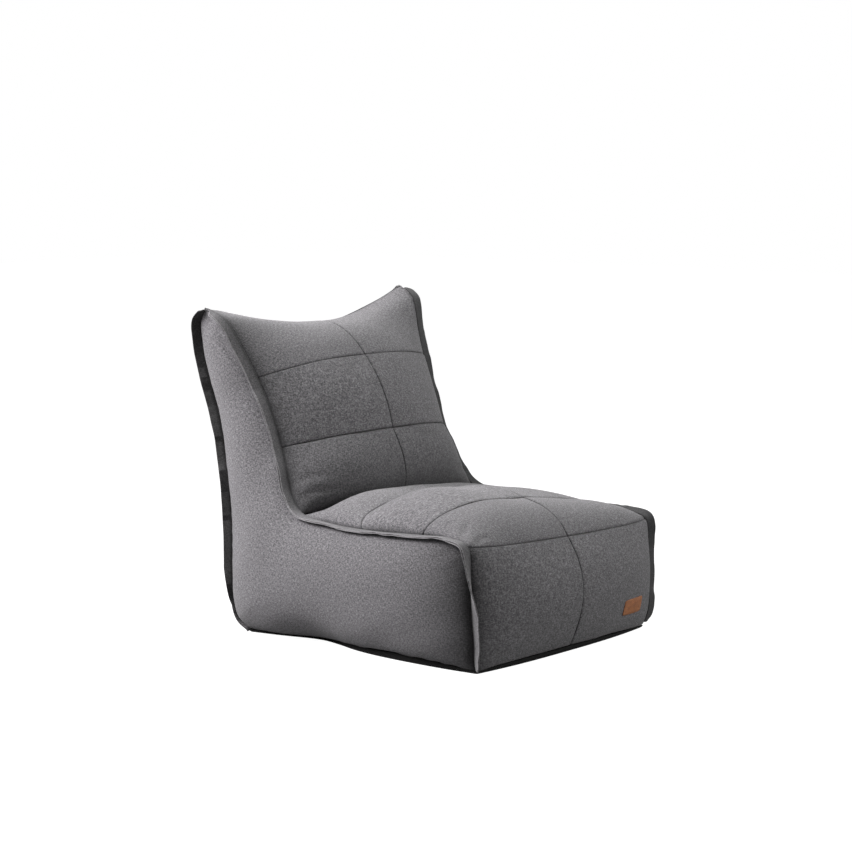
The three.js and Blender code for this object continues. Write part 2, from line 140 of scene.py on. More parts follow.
def lengths_along(points):
    steps = np.linalg.norm(np.diff(points, axis=0), axis=1)
    return np.concatenate([[0], np.cumsum(steps)])


def even_places(at, first, last, count):
    """Places between first and last on a line that are evenly far apart."""
    dense = np.linspace(first, last, 400)
    run = lengths_along(at(dense))
    return np.interp(np.linspace(0, run[-1], count), run, dense)


def places_along(at, first, last, shares):
    """Places between first and last on a line, at shares of the length between them."""
    return np.interp(shares, np.linspace(0, 1, 60), even_places(at, first, last, 60))


def spaced(length, pitch=GRID):
    """Shares from 0 to 1 along a panel, closer together next to its seams."""
    near = np.array([0, 0.0012, 0.004, 0.009, 0.016]) / length
    inner = np.linspace(near[-1], 1 - near[-1], max(3, int(round((length - 0.032) / pitch)) + 1))
    return np.concatenate([near[:-1], inner, 1 - near[-2::-1]])


def normals_of(grid):
    """Outward unit normals of a sheet whose columns run to the sitter's left and rows run on."""
    along = np.gradient(grid, axis=0)
    across = np.gradient(grid, axis=1)
    n = np.cross(across, along)
    return n / np.maximum(np.linalg.norm(n, axis=-1, keepdims=True), 1e-9)


def random_line(x, spacing, seed):
    """Smooth values from -1 to 1 that vary along x over about the spacing."""
    rng = np.random.RandomState(seed)
    knots = rng.uniform(-1, 1, 400)
    place = np.asarray(x) / spacing + 150
    i = np.floor(place).astype(int) % 398
    s = place - np.floor(place)
    s = s * s * (3 - 2 * s)
    return knots[i] * (1 - s) + knots[i + 1] * s


def lumps(x, y, spacing, seed):
    """Soft irregular lumps over a sheet, about -1 to 1."""
    rng = np.random.RandomState(seed)
    total = np.zeros(np.broadcast(x, y).shape)
    for _ in range(9):
        turn, phase = rng.uniform(0, math.pi), rng.uniform(0, 2 * math.pi)
        size = spacing * rng.uniform(0.7, 1.6)
        total += np.sin((x * math.cos(turn) + y * math.sin(turn)) * 2 * math.pi / size + phase)
    return total / 4.5


def folded(grid, folds):
    """Presses creases into a sheet: each is (start, end, depth, width) in metres."""
    out = normals_of(grid)
    height = np.zeros(grid.shape[:2])
    for start, end, depth, width in folds:
        start, end = np.array(start), np.array(end)
        along = np.sum((grid - start) * (end - start), axis=-1) / np.sum((end - start) ** 2)
        bend = 0.10 * np.linalg.norm(end - start) * np.sin(np.pi * np.clip(along, 0, 1))
        nearest = start + np.clip(along, 0, 1)[..., None] * (end - start)
        off = np.linalg.norm(grid - nearest, axis=-1)
        side = np.sum(np.cross(end - start, grid - nearest) * out, axis=-1)
        off = np.abs(np.copysign(off, side) - bend)
        ends = np.clip(1.15 - along, 0, 1) ** 0.8 * np.clip(along + 0.25, 0, 1) ** 0.5
        lips = 0.45 * np.exp(-(((off - 1.7 * width) / width) ** 2))
        height -= depth * (np.exp(-((off / width) ** 2)) - lips) * ends
    return grid + out * height[..., None]


def puckers(run, off, reach, seed, spacing=0.022):
    """Gathers that start at a seam and fade with the distance off it; run is the length along the seam."""
    fan = 1 + off / (reach * 1.4)
    short = random_line(run / fan, spacing, seed)
    long = random_line(run / fan, spacing * 2.3, seed + 1)
    fade = np.exp(-off / reach)
    return (0.55 * short * fade**1.6 + 0.75 * long * fade) * (1 - np.exp(-off / 0.004))


# ---------- the sheets of the cover ----------
side_seam = spline(seam_points(SIDE_SEAM))
rear_seam = spline(seam_points(REAR_SEAM))
base_seam = spline(seam_points([[y, z, half] for y, half, z in BASE_SEAM]))
# The side seam's ribs at the corner of the seat, at the crease and at the ridge.
CORNER, CREASE, RIDGE = 4, 10, 18


def across_places(pitch=GRID):
    """Shares of the half width from the right side seam, at -1, to the left one, at 1."""
    half = spaced(0.34, pitch)
    return np.concatenate([-half[::-1], half[1:]])


def strip_rows(edge, centre, across, fullness, slump=0.0):
    """Points of a strip from its side seam line, its centre line and how full it is across. Where the beads
    have slumped, the left half falls away from the middle and the right half stays round."""
    squareness, steepness = fullness
    u = np.abs(across)[None, :]
    full = np.maximum(1 - u ** squareness[:, None], 0) ** steepness[:, None]
    fallen = (1 - 0.62 * u) * np.maximum(1 - u**6, 0) ** 0.7
    heaped = full * (1 + 0.13 * np.exp(-(((u - 0.5) / 0.28) ** 2)))
    full = full * (1 - slump) + np.where(across[None, :] > 0, fallen, heaped) * slump
    x = across[None, :] * edge[:, 0:1]
    y = edge[:, 1:2] * (1 - full) + centre[:, 0:1] * full
    z = edge[:, 2:3] * (1 - full) + centre[:, 1:2] * full
    return np.stack([x, y, z], axis=-1)


def leaned(points):
    """Twists the front of the seat and the ridge a little, as the beads have settled."""
    side = np.clip(points[..., 0] / 0.35, -1, 1)
    near_front = np.clip((-0.02 - points[..., 1]) / 0.30, 0, 1)
    near_front = near_front**2 * (3 - 2 * near_front)
    moved = points.copy()
    foot = np.clip(1 - points[..., 2] / 0.05, 0, 1) ** 2
    moved[..., 1] += (LEAN_FORWARD + LEAN_FOOT * foot) * side * near_front
    moved[..., 2] -= LEAN_DOWN * side * near_front * np.clip(points[..., 2] / 0.3, 0, 1) ** 2
    ridge = np.clip((points[..., 2] - 0.66) / 0.15, 0, 1) ** 2
    moved[..., 2] += LEAN_RIDGE * side * np.abs(side) ** 3 * ridge
    moved[..., 0] += 0.010 * np.clip(side, 0, 1) ** 3 * ridge
    near_seam = np.exp(-(((points[..., 2] - 0.648) / 0.07) ** 2))
    near_seam = near_seam * np.clip((points[..., 1] - 0.1) / 0.1, 0, 1)
    moved[..., 2] -= 0.013 * np.clip(-side, 0, 1) ** 2 * near_seam
    return moved


def front_sheet():
    """The sheet from the base up the front, over the seat and up the backrest, and each row's place in it."""
    across = across_places()
    rows, spans, start = [], {}, 0
    for name, (first, last, full_start, full_end, centre) in ROWS.items():
        line = spline(np.array(centre) / 1000)
        length = lengths_along(line(np.linspace(0, len(centre) - 1, 200)))[-1]
        share = spaced(length)
        places = places_along(line, 0, len(centre) - 1, share)
        edge_places = places_along(side_seam, first, last, share)
        blend = share[:, None]
        full = np.array(full_start) * (1 - blend) + np.array(full_end) * blend
        slump_start, slump_end = SLUMP.get(name, (0, 0))
        slump = slump_start + (slump_end - slump_start) * blend
        part = strip_rows(side_seam(edge_places), line(places), across, full.T, slump)
        rows.append(part if not rows else part[1:])
        end = start + len(share) - 1
        spans[name] = (start, end)
        start = end
    return leaned(np.concatenate(rows)), across, spans


def rear_sheet():
    """The sheet from the base up the rear to the ridge, with its columns in the order of across_places."""
    across = across_places()[::-1]
    line = spline(np.array(REAR_CENTRE) / 1000)
    share = spaced(0.85)
    last = len(REAR_CENTRE) - 1
    places = places_along(line, 0, last, share)
    edge_places = places_along(rear_seam, 0, last, share)
    blend = (np.clip(share / 0.2, 0, 1) * np.clip((1 - share) / 0.12, 0, 1))[:, None]
    full = np.array([1.7, 1.15]) * (1 - blend) + np.array([2.4, 0.8]) * blend
    grid = strip_rows(rear_seam(edge_places), line(places), across, full.T)
    grid[..., 2] -= 0.003 * np.exp(-share / 0.02)[:, None]
    return leaned(grid[::-1, ::-1]), across[::-1]


def side_sheet(side):
    """A side panel, laid out on the left: a band from the ridge down to the base and on to the front seam."""
    back_rows = 52
    back = np.linspace(0, 1, back_rows) ** 1.15
    seat = spaced(0.56, 0.0102)[1:]
    down = places_along(side_seam, RIDGE, CREASE, back)
    forward = places_along(side_seam, CREASE, CORNER, seat)
    rear = places_along(rear_seam, 0, len(REAR_SEAM) - 1, back)
    inner = np.concatenate([side_seam(down), side_seam(forward)])
    floor = places_along(base_seam, 0, len(BASE_SEAM) - 1, seat)
    outer = np.concatenate([rear_seam(rear), base_seam(floor)])
    seat_share = np.concatenate([np.zeros(back_rows), seat])[:, None, None]
    across = spaced(0.34, 0.0105)[None, :, None]
    foot_half, foot_height = 0.343, 0.072
    straight = foot_half + (BASE_SEAM[-1][1] / 1000 - foot_half) * np.concatenate([np.zeros(back_rows), seat])
    above_foot = (np.arange(len(outer)) < back_rows) & (outer[:, 2] > foot_height)
    below = np.where(above_foot, 0, straight - outer[:, 0])
    outer[:, 0] += below
    grid = inner[:, None] * (1 - across) + outer[:, None] * across
    front = side_seam(np.linspace(CORNER, 0, 200))
    front_run = lengths_along(front) / lengths_along(front)[-1]
    curved = np.stack([np.interp(across[0, :, 0], front_run, front[:, k]) for k in range(3)], axis=-1)
    flat_front = front[0] * (1 - across[0]) + front[-1] * across[0]
    grid = grid + seat_share * (curved - flat_front)[None]
    a = across[:, :, 0]

    def rounding(line, reach, squareness, steepness):
        """How far each point is from one edge of the panel, and how far it has risen there, from 0 to 1."""
        near = np.min(np.linalg.norm(grid[:, :, None, 1:] - line[None, None, :, 1:], axis=-1), axis=-1)
        return near, (1 - (1 - np.clip(near / reach, 0, 1)) ** squareness) ** steepness

    edge_lines = (
        (side_seam(np.linspace(CORNER, RIDGE, 160)), 0.15, 2.4, 0.66),
        (rear_seam(np.linspace(0, len(REAR_SEAM) - 1, 120)), 0.15, 2.4, 0.80),
        (base_seam(np.linspace(0, len(BASE_SEAM) - 1, 100)), 0.13, 2.4, 0.62),
        (side_seam(np.linspace(0, CORNER, 60)), 0.22, 2.6, 0.62),
    )
    (inner_off, inner_rise), (rear_off, rear_rise), (_, base_rise), (_, front_rise) = (
        rounding(*edge) for edge in edge_lines
    )
    swell = (0.048**-6 + np.maximum((inner_off + rear_off) * 0.24, 1e-4) ** -6) ** (-1 / 6)
    grid[..., 0] += swell * inner_rise * rear_rise * base_rise * front_rise - below[:, None] * a**6
    return leaned(grid * (side, 1, 1))


# ---------- settling the fabric ----------
def blurred(field, rows, columns):
    """A sheet's field with everything smaller than so many rows and columns smoothed away."""
    out = field
    for axis, reach in ((0, rows), (1, columns)):
        span = np.arange(-2 * reach, 2 * reach + 1)
        weights = np.exp(-0.5 * (span / reach) ** 2)
        weights /= weights.sum()
        pad = [(0, 0)] * out.ndim
        pad[axis] = (2 * reach, 2 * reach)
        wide = np.pad(out, pad, mode="reflect", reflect_type="odd")
        out = sum(w * np.take(wide, range(k, k + out.shape[axis]), axis=axis) for k, w in enumerate(weights))
    return out


def settled(grid, seam_rows, seam_columns, looseness=0.035, frames=18, deepest=0.006):
    """Lets a sheet hang between its seams as cloth under the push of the beads, and returns it with the
    folds this gives, on its own overall shape. The fabric is longer than the seams that hold it, by its
    looseness, and no fold is deeper than deepest, in metres."""
    rows, columns = grid.shape[:2]
    mesh = grid_mesh("settling", grid)
    sheet = bpy.data.objects.new("settling", mesh)
    bpy.context.scene.collection.objects.link(sheet)
    index = np.arange(rows * columns).reshape(rows, columns)
    held = np.zeros((rows, columns), bool)
    held[[0, -1], :] = held[:, [0, -1]] = True
    for row in seam_rows:
        held[row, :] = True
    for column in seam_columns:
        held[:, column] = True
    seam = sheet.vertex_groups.new(name="seam")
    seam.add([int(i) for i in index[held]], 1.0, "REPLACE")
    loose = sheet.vertex_groups.new(name="loose")
    loose.add([int(i) for i in index[~held]], 1.0, "REPLACE")
    cloth = sheet.modifiers.new("cloth", "CLOTH")
    s = cloth.settings
    s.quality = 6
    s.mass = 0.3
    s.air_damping = 2
    s.tension_stiffness = s.compression_stiffness = 30
    s.shear_stiffness = 8
    s.bending_stiffness = 1.2
    s.use_pressure = True
    s.uniform_pressure_force = 2.5
    s.effector_weights.gravity = 0
    s.vertex_group_mass = "seam"
    s.pin_stiffness = 1
    s.vertex_group_shrink = "loose"
    s.shrink_min = 0.0
    s.shrink_max = -looseness
    cloth.collision_settings.use_collision = False
    cloth.collision_settings.use_self_collision = False
    for step in range(1, frames + 1):
        bpy.context.scene.frame_set(step)
    shaped = sheet.evaluated_get(bpy.context.evaluated_depsgraph_get())
    flat = np.empty(rows * columns * 3, np.float32)
    shaped.data.vertices.foreach_get("co", flat)
    moved = flat.reshape(grid.shape).astype(float) - grid
    bpy.context.scene.frame_set(1)
    bpy.data.objects.remove(sheet)
    bpy.data.meshes.remove(mesh)
    folds = moved - blurred(moved, 7, 7)
    out = normals_of(grid)
    height = np.sum(folds * out, axis=-1)
    height = deepest * np.tanh(height / deepest)
    return grid + out * height[..., None]


# ---------- meshes ----------
def grid_mesh(name, grid):
    rows, columns = grid.shape[:2]
    index = np.arange(rows * columns).reshape(rows, columns)
    quads = np.stack([index[:-1, :-1], index[:-1, 1:], index[1:, 1:], index[1:, :-1]], axis=-1)
    mesh = bpy.data.meshes.new(name)
    mesh.from_pydata(grid.reshape(-1, 3).tolist(), [], quads.reshape(-1, 4).tolist())
    return mesh


def add_object(name, mesh, material, subdivide=1):
    for polygon in mesh.polygons:
        polygon.use_smooth = True
    piece = bpy.data.objects.new(name, mesh)
    bpy.context.scene.collection.objects.link(piece)
    mesh.materials.append(material)
    if subdivide:
        smoothing = piece.modifiers.new("subdivision", "SUBSURF")
        smoothing.levels = smoothing.render_levels = subdivide
    return piece


def store_cloth(mesh, places):
    """Keeps each point's place on the flat cloth, in metres, for the weave."""
    attribute = mesh.attributes.new("cloth", "FLOAT_VECTOR", "POINT")
    attribute.data.foreach_set("vector", np.asarray(places, np.float32).ravel())


def store_value(mesh, name, values):
    """Keeps one value from 0 to 1 at each point, such as how much painted shade it gets in a seam's valley.
    """
    attribute = mesh.attributes.new(name, "FLOAT", "POINT")
    attribute.data.foreach_set("value", np.asarray(values, np.float32).ravel())


def joined_mesh(name, parts):
    """One mesh from several (points, faces) parts."""
    points, faces, start = [], [], 0
    for part_points, part_faces in parts:
        points.append(np.asarray(part_points, float))
        faces += [[start + i for i in face] for face in part_faces]
        start += len(part_points)
    mesh = bpy.data.meshes.new(name)
    mesh.from_pydata(np.concatenate(points).tolist(), [], faces)
    return mesh


def ring_solid(rings):
    """A closed solid through rings of points, one after another."""
    count, around = rings.shape[:2]
    index = np.arange(count * around).reshape(count, around)
    following = np.roll(index, -1, axis=1)
    quads = np.stack([index[:-1], following[:-1], following[1:], index[1:]], axis=-1).reshape(-1, 4).tolist()
    return rings.reshape(-1, 3), quads + [index[0][::-1].tolist(), index[-1].tolist()]


def closed_sheet(name, outer, inner, cloth, painted_shade):
    """A closed mesh between an outer and an inner grid."""
    rows, columns = outer.shape[:2]
    index = np.arange(rows * columns).reshape(rows, columns)
    back = index + rows * columns

    def quads(a, b, c, d):
        return np.stack([a, b, c, d], axis=-1).reshape(-1, 4)

    faces = np.concatenate([
        quads(index[:-1, :-1], index[:-1, 1:], index[1:, 1:], index[1:, :-1]),
        quads(back[:-1, :-1], back[1:, :-1], back[1:, 1:], back[:-1, 1:]),
        quads(index[0, :-1], back[0, :-1], back[0, 1:], index[0, 1:]),
        quads(index[-1, :-1], index[-1, 1:], back[-1, 1:], back[-1, :-1]),
        quads(index[:-1, 0], index[1:, 0], back[1:, 0], back[:-1, 0]),
        quads(index[:-1, -1], back[:-1, -1], back[1:, -1], index[1:, -1]),
    ])
    mesh = bpy.data.meshes.new(name)
    points = np.concatenate([outer.reshape(-1, 3), inner.reshape(-1, 3)])
    mesh.from_pydata(points.tolist(), [], faces.tolist())
    store_cloth(mesh, np.concatenate([cloth.reshape(-1, 3)] * 2))
    store_value(mesh, "painted_shade", np.concatenate([painted_shade.ravel()] * 2))
    return mesh


def distances_in(grid):
    """For each point of a sheet, the distance along the cloth to its first row and column, and its size."""
    down = np.zeros(grid.shape[:2])
    down[1:] = np.cumsum(np.linalg.norm(np.diff(grid, axis=0), axis=-1), axis=0)
    over = np.zeros(grid.shape[:2])
    over[:, 1:] = np.cumsum(np.linalg.norm(np.diff(grid, axis=1), axis=-1), axis=1)
    return down, over


# How a panel meets a cross seam and the middle seam: as the edges of sewn_panel say.
CROSS_SEAM = (0.4, 0.7, 0.0022)
MIDDLE_SEAM = (0.35, 0.7, 0.0022)


def sewn_panel(name, grid, material, seed, edges, cloth=None):
    """One panel cut from a sheet: its edges roll in at the seams and gather there, and it has the cloth's
    thickness. edges says for its first row, last row, first column and last column how much it gathers, how
    dark the painted shade in the seam's valley is and how far that reaches, in metres."""
    down, over = distances_in(grid)
    to_edges = (down, down[-1:] - down, over, over[:, -1:] - over)
    runs = (over, over, down, down)
    out = normals_of(grid)
    height = 0.0011 * lumps(over, down, 0.16, seed)
    painted_shade = np.zeros(down.shape)
    for k, (run, off, (amount, dark, reach)) in enumerate(zip(runs, to_edges, edges)):
        height += 0.001 * amount * puckers(run, off, 0.02 + 0.012 * amount, seed * 7 + k)
        height -= (0.0014 + 0.0022 * amount) * np.exp(-off / (0.0018 + 0.0018 * amount))
        # painted shade: each seam darkens the colour near it, as shade falling in its valley
        painted_shade = np.maximum(painted_shade, dark * np.exp(-off / reach))
    inset = 0.0004
    outer = grid + out * height[..., None]
    for axis, line in ((0, 0), (0, -1), (1, 0), (1, -1)):
        step = 1 if line == 0 else -1
        here = (line, slice(None)) if axis == 0 else (slice(None), line)
        next_in = (line + step, slice(None)) if axis == 0 else (slice(None), line + step)
        towards = outer[next_in] - outer[here]
        long = np.maximum(np.linalg.norm(towards, axis=-1, keepdims=True), 1e-6)
        outer[here] = outer[here] + towards / long * inset
    inner = outer - out * PANEL_THICK
    if cloth is None:
        cloth = np.stack([over, down], axis=-1)
    cloth = np.concatenate([cloth, np.full((*down.shape, 1), seed * 1.37)], axis=-1)
    mesh = closed_sheet(name, outer, inner, cloth, painted_shade)
    piece = add_object(name, mesh, material)
    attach(piece, BODY)
    return piece


# ---------- materials ----------
def new_group(name, inputs, outputs):
    """A shader node group with named inputs (name, kind, default) and outputs (name, kind)."""
    group = bpy.data.node_groups.new(name, "ShaderNodeTree")
    for label, kind, default in inputs:
        socket = group.interface.new_socket(name=label, in_out="INPUT", socket_type=kind)
        if default is not None:
            socket.default_value = default
    for label, kind in outputs:
        group.interface.new_socket(name=label, in_out="OUTPUT", socket_type=kind)
    return group, Wiring(group)


class Wiring:
    """Places nodes in a tree and joins their sockets."""

    def __init__(self, tree):
        self.tree = tree

    def node(self, kind, values=None, **settings):
        made = self.tree.nodes.new(kind)
        for key, value in settings.items():
            setattr(made, key, value)
        for key, value in (values or {}).items():
            if isinstance(value, bpy.types.NodeSocket):
                self.tree.links.new(value, made.inputs[key])
            else:
                made.inputs[key].default_value = value
        return made

    def math(self, operation, a, b=0.0, c=None):
        values = {0: a, 1: b}
        if c is not None:
            values[2] = c
        return self.node("ShaderNodeMath", values, operation=operation).outputs[0]

    def mix(self, factor, a, b, blend="MIX"):
        made = self.node("ShaderNodeMix", {0: factor, 6: a, 7: b}, data_type="RGBA", blend_type=blend)
        return made.outputs[2]

    def ramp(self, factor, low, high, to_low=0.0, to_high=1.0):
        made = self.node(
            "ShaderNodeMapRange",
            {"Value": factor, "From Min": low, "From Max": high, "To Min": to_low, "To Max": to_high},
        )
        return made.outputs[0]

    def noise(self, vector, scale, detail=2.0, rough=0.5):
        return self.node(
            "ShaderNodeTexNoise", {"Vector": vector, "Scale": scale, "Detail": detail, "Roughness": rough}
        ).outputs["Fac"]


def weave_group():
    """Threads over and under: which thread is on top, how high it stands, and how its tone varies."""
    group, w = new_group(
        "woven threads",
        [("Cloth", "NodeSocketVector", None), ("Pitch", "NodeSocketFloat", 0.0011),
         ("Slub", "NodeSocketFloat", 0.5)],
        [("Height", "NodeSocketFloat"), ("Tone", "NodeSocketFloat"), ("Streak", "NodeSocketFloat")],
    )
    given = w.node("NodeGroupInput").outputs
    place = w.node("ShaderNodeSeparateXYZ", {0: given["Cloth"]}).outputs
    x = w.math("DIVIDE", place[0], given["Pitch"])
    y = w.math("DIVIDE", place[1], given["Pitch"])
    wave_x = w.math("SINE", w.math("MULTIPLY", x, math.pi))
    wave_y = w.math("SINE", w.math("MULTIPLY", y, math.pi))
    over = w.math("MULTIPLY", wave_x, wave_y)
    warp_top = w.ramp(over, -0.25, 0.25)
    crown_x = w.math("ABSOLUTE", wave_x)
    crown_y = w.math("ABSOLUTE", wave_y)
    warp_height = w.math("MULTIPLY", crown_x, w.math("ADD", 0.55, w.math("MULTIPLY", over, 0.45)))
    weft_height = w.math("MULTIPLY", crown_y, w.math("SUBTRACT", 0.55, w.math("MULTIPLY", over, 0.45)))
    height = w.math("MAXIMUM", warp_height, weft_height)
    warp_number = w.math("FLOOR", x)
    weft_number = w.math("FLOOR", y)

    def thread_tone(number, run, shift):
        apart = w.math("MULTIPLY", number, 7.31)
        at = w.node("ShaderNodeCombineXYZ", {0: apart, 1: run, 2: shift}).outputs[0]
        return w.noise(at, 1.0, 2.0, 0.6)

    def slubs(stretch):
        """Long thick and thin places in the threads that run one way."""
        drawn = w.node("ShaderNodeVectorMath", {0: given["Cloth"], 1: stretch}, operation="MULTIPLY")
        return w.noise(drawn.outputs[0], 1.0, 3.0, 0.65)

    warp_tone = thread_tone(warp_number, w.math("MULTIPLY", place[1], 190.0), 3.0)
    weft_tone = thread_tone(weft_number, w.math("MULTIPLY", place[0], 150.0), 11.0)
    tone = w.math("ADD", w.math("MULTIPLY", warp_tone, warp_top),
                  w.math("MULTIPLY", weft_tone, w.math("SUBTRACT", 1.0, warp_top)))
    streak = w.math("ADD", slubs((150.0, 520.0, 40.0)), slubs((520.0, 150.0, 40.0)))
    streak = w.math("MULTIPLY", w.math("SUBTRACT", streak, 1.0), given["Slub"])
    w.node("NodeGroupOutput", {"Height": height, "Tone": tone, "Streak": streak})
    return group


def wear_and_seam_shade_group():
    """Slow changes over a surface: paler handled places and dust, and painted shade that darkens the seams'
    valleys.
    """
    group, w = new_group(
        "soft wear and painted seam shade",
        [("Color", "NodeSocketColor", None), ("Amount", "NodeSocketFloat", 0.08),
         ("Valley", "NodeSocketFloat", 0.0), ("Valley Shade", "NodeSocketFloat", 0.3)],
        [("Color", "NodeSocketColor"), ("Dust", "NodeSocketFloat")],
    )
    given = w.node("NodeGroupInput").outputs
    place = w.node("ShaderNodeTexCoord").outputs["Object"]
    broad = w.noise(place, 5.5, 3.0, 0.55)
    light = w.ramp(broad, 0.3, 0.7, -1.0, 1.0)
    factor = w.math("ADD", 1.0, w.math("MULTIPLY", light, given["Amount"]))
    # painted shade: the colour is darkened by how deep in a seam's valley the point lies
    in_shade = w.math("MULTIPLY", given["Valley"], given["Valley Shade"])
    shaded = w.math("MULTIPLY", factor, w.math("SUBTRACT", 1.0, in_shade))
    color = w.node("ShaderNodeVectorMath", {0: given["Color"], 3: shaded}, operation="SCALE").outputs[0]
    dust = w.ramp(w.noise(place, 60.0, 4.0, 0.7), 0.45, 0.8)
    w.node("NodeGroupOutput", {"Color": color, "Dust": dust})
    return group


WEAVE = weave_group()
WEAR_AND_SEAM_SHADE = wear_and_seam_shade_group()


def new_material(name):
    material = bpy.data.materials.new(name)
    material.use_nodes = True
    tree = material.node_tree
    shader = tree.nodes["Principled BSDF"]
    return material, Wiring(tree), shader


def use_group(w, group, values):
    return w.node("ShaderNodeGroup", values, node_tree=group).outputs


def woven_material(name, dark, mid, light, pitch=0.0011, slub=0.5, contrast=1.0, bump=0.25, painted_shade=0.8,
                   roughness=(0.82, 0.95), sheen=0.25, wear=0.05, raw_edge_and_highlight=None):
    """A woven cloth of mixed fibres: dark, mid and light are its fibres' colours, and the raw edge colour is
    that of its cut threads, also painted along a flange's free edge as a highlight. The seams' valleys get
    painted shade."""
    material, w, shader = new_material(name)
    cloth = w.node("ShaderNodeAttribute", attribute_name="cloth").outputs["Vector"]
    painted_shade_here = w.node("ShaderNodeAttribute", attribute_name="painted_shade").outputs["Fac"]
    threads = use_group(w, WEAVE, {"Cloth": cloth, "Pitch": pitch, "Slub": slub})
    tone = w.math("ADD", threads["Tone"], w.math("MULTIPLY", threads["Streak"], contrast))
    # painted shade at the weave's scale: raised threads are painted lighter and the hollows between them
    # darker
    tone = w.math("ADD", tone, w.math("MULTIPLY", w.math("SUBTRACT", threads["Height"], 0.6), 0.16))
    under = w.mix(w.ramp(tone, 0.24, 0.5), (*dark, 1), (*mid, 1))
    fibres = w.mix(w.ramp(tone, 0.5, 0.78), under, (*light, 1))
    if raw_edge_and_highlight:
        # the free edge is painted paler: its cut threads, and a painted highlight where it catches light
        frayed_and_highlit = w.node("ShaderNodeAttribute", attribute_name="frayed_and_highlit").outputs["Fac"]
        fibres = w.mix(w.math("MULTIPLY", frayed_and_highlit, w.ramp(threads["Tone"], 0.3, 0.6)), fibres, (*raw_edge_and_highlight, 1))
    # the seams' valleys get painted shade here, along with the wear
    wear_and_shade_out = use_group(w, WEAR_AND_SEAM_SHADE, {"Color": fibres, "Amount": wear, "Valley": painted_shade_here, "Valley Shade": painted_shade})
    w.tree.links.new(wear_and_shade_out["Color"], shader.inputs["Base Color"])
    rough = w.ramp(threads["Height"], 0.2, 1.0, roughness[1], roughness[0])
    w.tree.links.new(rough, shader.inputs["Roughness"])
    relief = w.math("ADD", w.math("MULTIPLY", threads["Height"], 0.7),
                    w.math("MULTIPLY", threads["Streak"], 0.5))
    bumped = w.node("ShaderNodeBump", {"Height": relief, "Strength": bump, "Distance": 0.0006})
    w.tree.links.new(bumped.outputs["Normal"], shader.inputs["Normal"])
    shader.inputs["Sheen Weight"].default_value = sheen
    shader.inputs["Sheen Roughness"].default_value = 0.6
    shader.inputs["Specular IOR Level"].default_value = 0.25
    return material


def leather_material():
    material, w, shader = new_material("tan leather")
    place = w.node("ShaderNodeTexCoord").outputs["Object"]
    cells = w.node("ShaderNodeTexVoronoi", {"Vector": place, "Scale": 900.0}, feature="DISTANCE_TO_EDGE")
    grain = w.ramp(cells.outputs[0], 0.0, 0.12)
    cloudy = w.noise(place, 90.0, 4.0, 0.6)
    tone = w.math("ADD", w.math("MULTIPLY", cloudy, 0.8), w.math("MULTIPLY", grain, 0.2))
    base = w.mix(w.ramp(tone, 0.3, 0.8), (0.27, 0.098, 0.040, 1), (0.56, 0.235, 0.102, 1))
    wear_and_shade_out = use_group(w, WEAR_AND_SEAM_SHADE, {"Color": base, "Amount": 0.1})
    w.tree.links.new(wear_and_shade_out["Color"], shader.inputs["Base Color"])
    w.tree.links.new(w.ramp(cloudy, 0.3, 0.7, 0.48, 0.66), shader.inputs["Roughness"])
    bumped = w.node("ShaderNodeBump", {"Height": grain, "Strength": 0.35, "Distance": 0.0003})
    w.tree.links.new(bumped.outputs["Normal"], shader.inputs["Normal"])
    return material


def grained_material(name, low, high, scale, roughness, metallic=0.0, bump=0.15, stretch=(1, 1, 1)):
    """A moulded or cast finish: low and high are its colours, scale is how fine its grain is."""
    material, w, shader = new_material(name)
    place = w.node("ShaderNodeTexCoord").outputs["Object"]
    drawn = w.node("ShaderNodeVectorMath", {0: place, 1: stretch}, operation="MULTIPLY").outputs[0]
    grain = w.noise(drawn, scale, 4.0, 0.6)
    base = w.mix(w.ramp(grain, 0.3, 0.7), (*low, 1), (*high, 1))
    wear_and_shade_out = use_group(w, WEAR_AND_SEAM_SHADE, {"Color": base, "Amount": 0.08})
    w.tree.links.new(wear_and_shade_out["Color"], shader.inputs["Base Color"])
    w.tree.links.new(w.ramp(grain, 0.3, 0.7, *roughness), shader.inputs["Roughness"])
    shader.inputs["Metallic"].default_value = metallic
    bumped = w.node("ShaderNodeBump", {"Height": grain, "Strength": bump, "Distance": 0.0004})
    w.tree.links.new(bumped.outputs["Normal"], shader.inputs["Normal"])
    return material


MELANGE = woven_material("grey melange", (0.052, 0.050, 0.053), (0.128, 0.124, 0.130), (0.27, 0.263, 0.272),
                         slub=0.7, contrast=1.8, painted_shade=0.88)
# The flanges are the cover's own melange with its colours painted darker, as painted shade.
SHADED_FLANGE_MELANGE = woven_material("grey melange seam allowance with painted shade", (0.035, 0.034, 0.036), (0.10, 0.097, 0.10),
                              (0.24, 0.235, 0.24), painted_shade=0.8, raw_edge_and_highlight=(0.34, 0.33, 0.34))
REAR_CLOTH = woven_material("dark seam allowance", (0.006, 0.006, 0.006), (0.024, 0.0235, 0.0235),
                            (0.075, 0.073, 0.074), painted_shade=0.2, sheen=0.1, raw_edge_and_highlight=(0.15, 0.148, 0.148))
BASE_CLOTH = woven_material("black base cloth", (0.0025, 0.0025, 0.0022), (0.005, 0.005, 0.0045),
                            (0.010, 0.0098, 0.0095), pitch=0.0014, slub=0.25, painted_shade=0.0, sheen=0.05)
LINER_CLOTH = woven_material("white liner cloth", (0.5, 0.49, 0.46), (0.68, 0.67, 0.64), (0.8, 0.79, 0.77),
                             pitch=0.0012, slub=0.3, painted_shade=0.1, sheen=0.05)
TAPE = woven_material("black zip tape", (0.006, 0.006, 0.0065), (0.014, 0.014, 0.015), (0.03, 0.03, 0.032),
                      pitch=0.0007, slub=0.2, painted_shade=0.0, sheen=0.05)
LEATHER = leather_material()
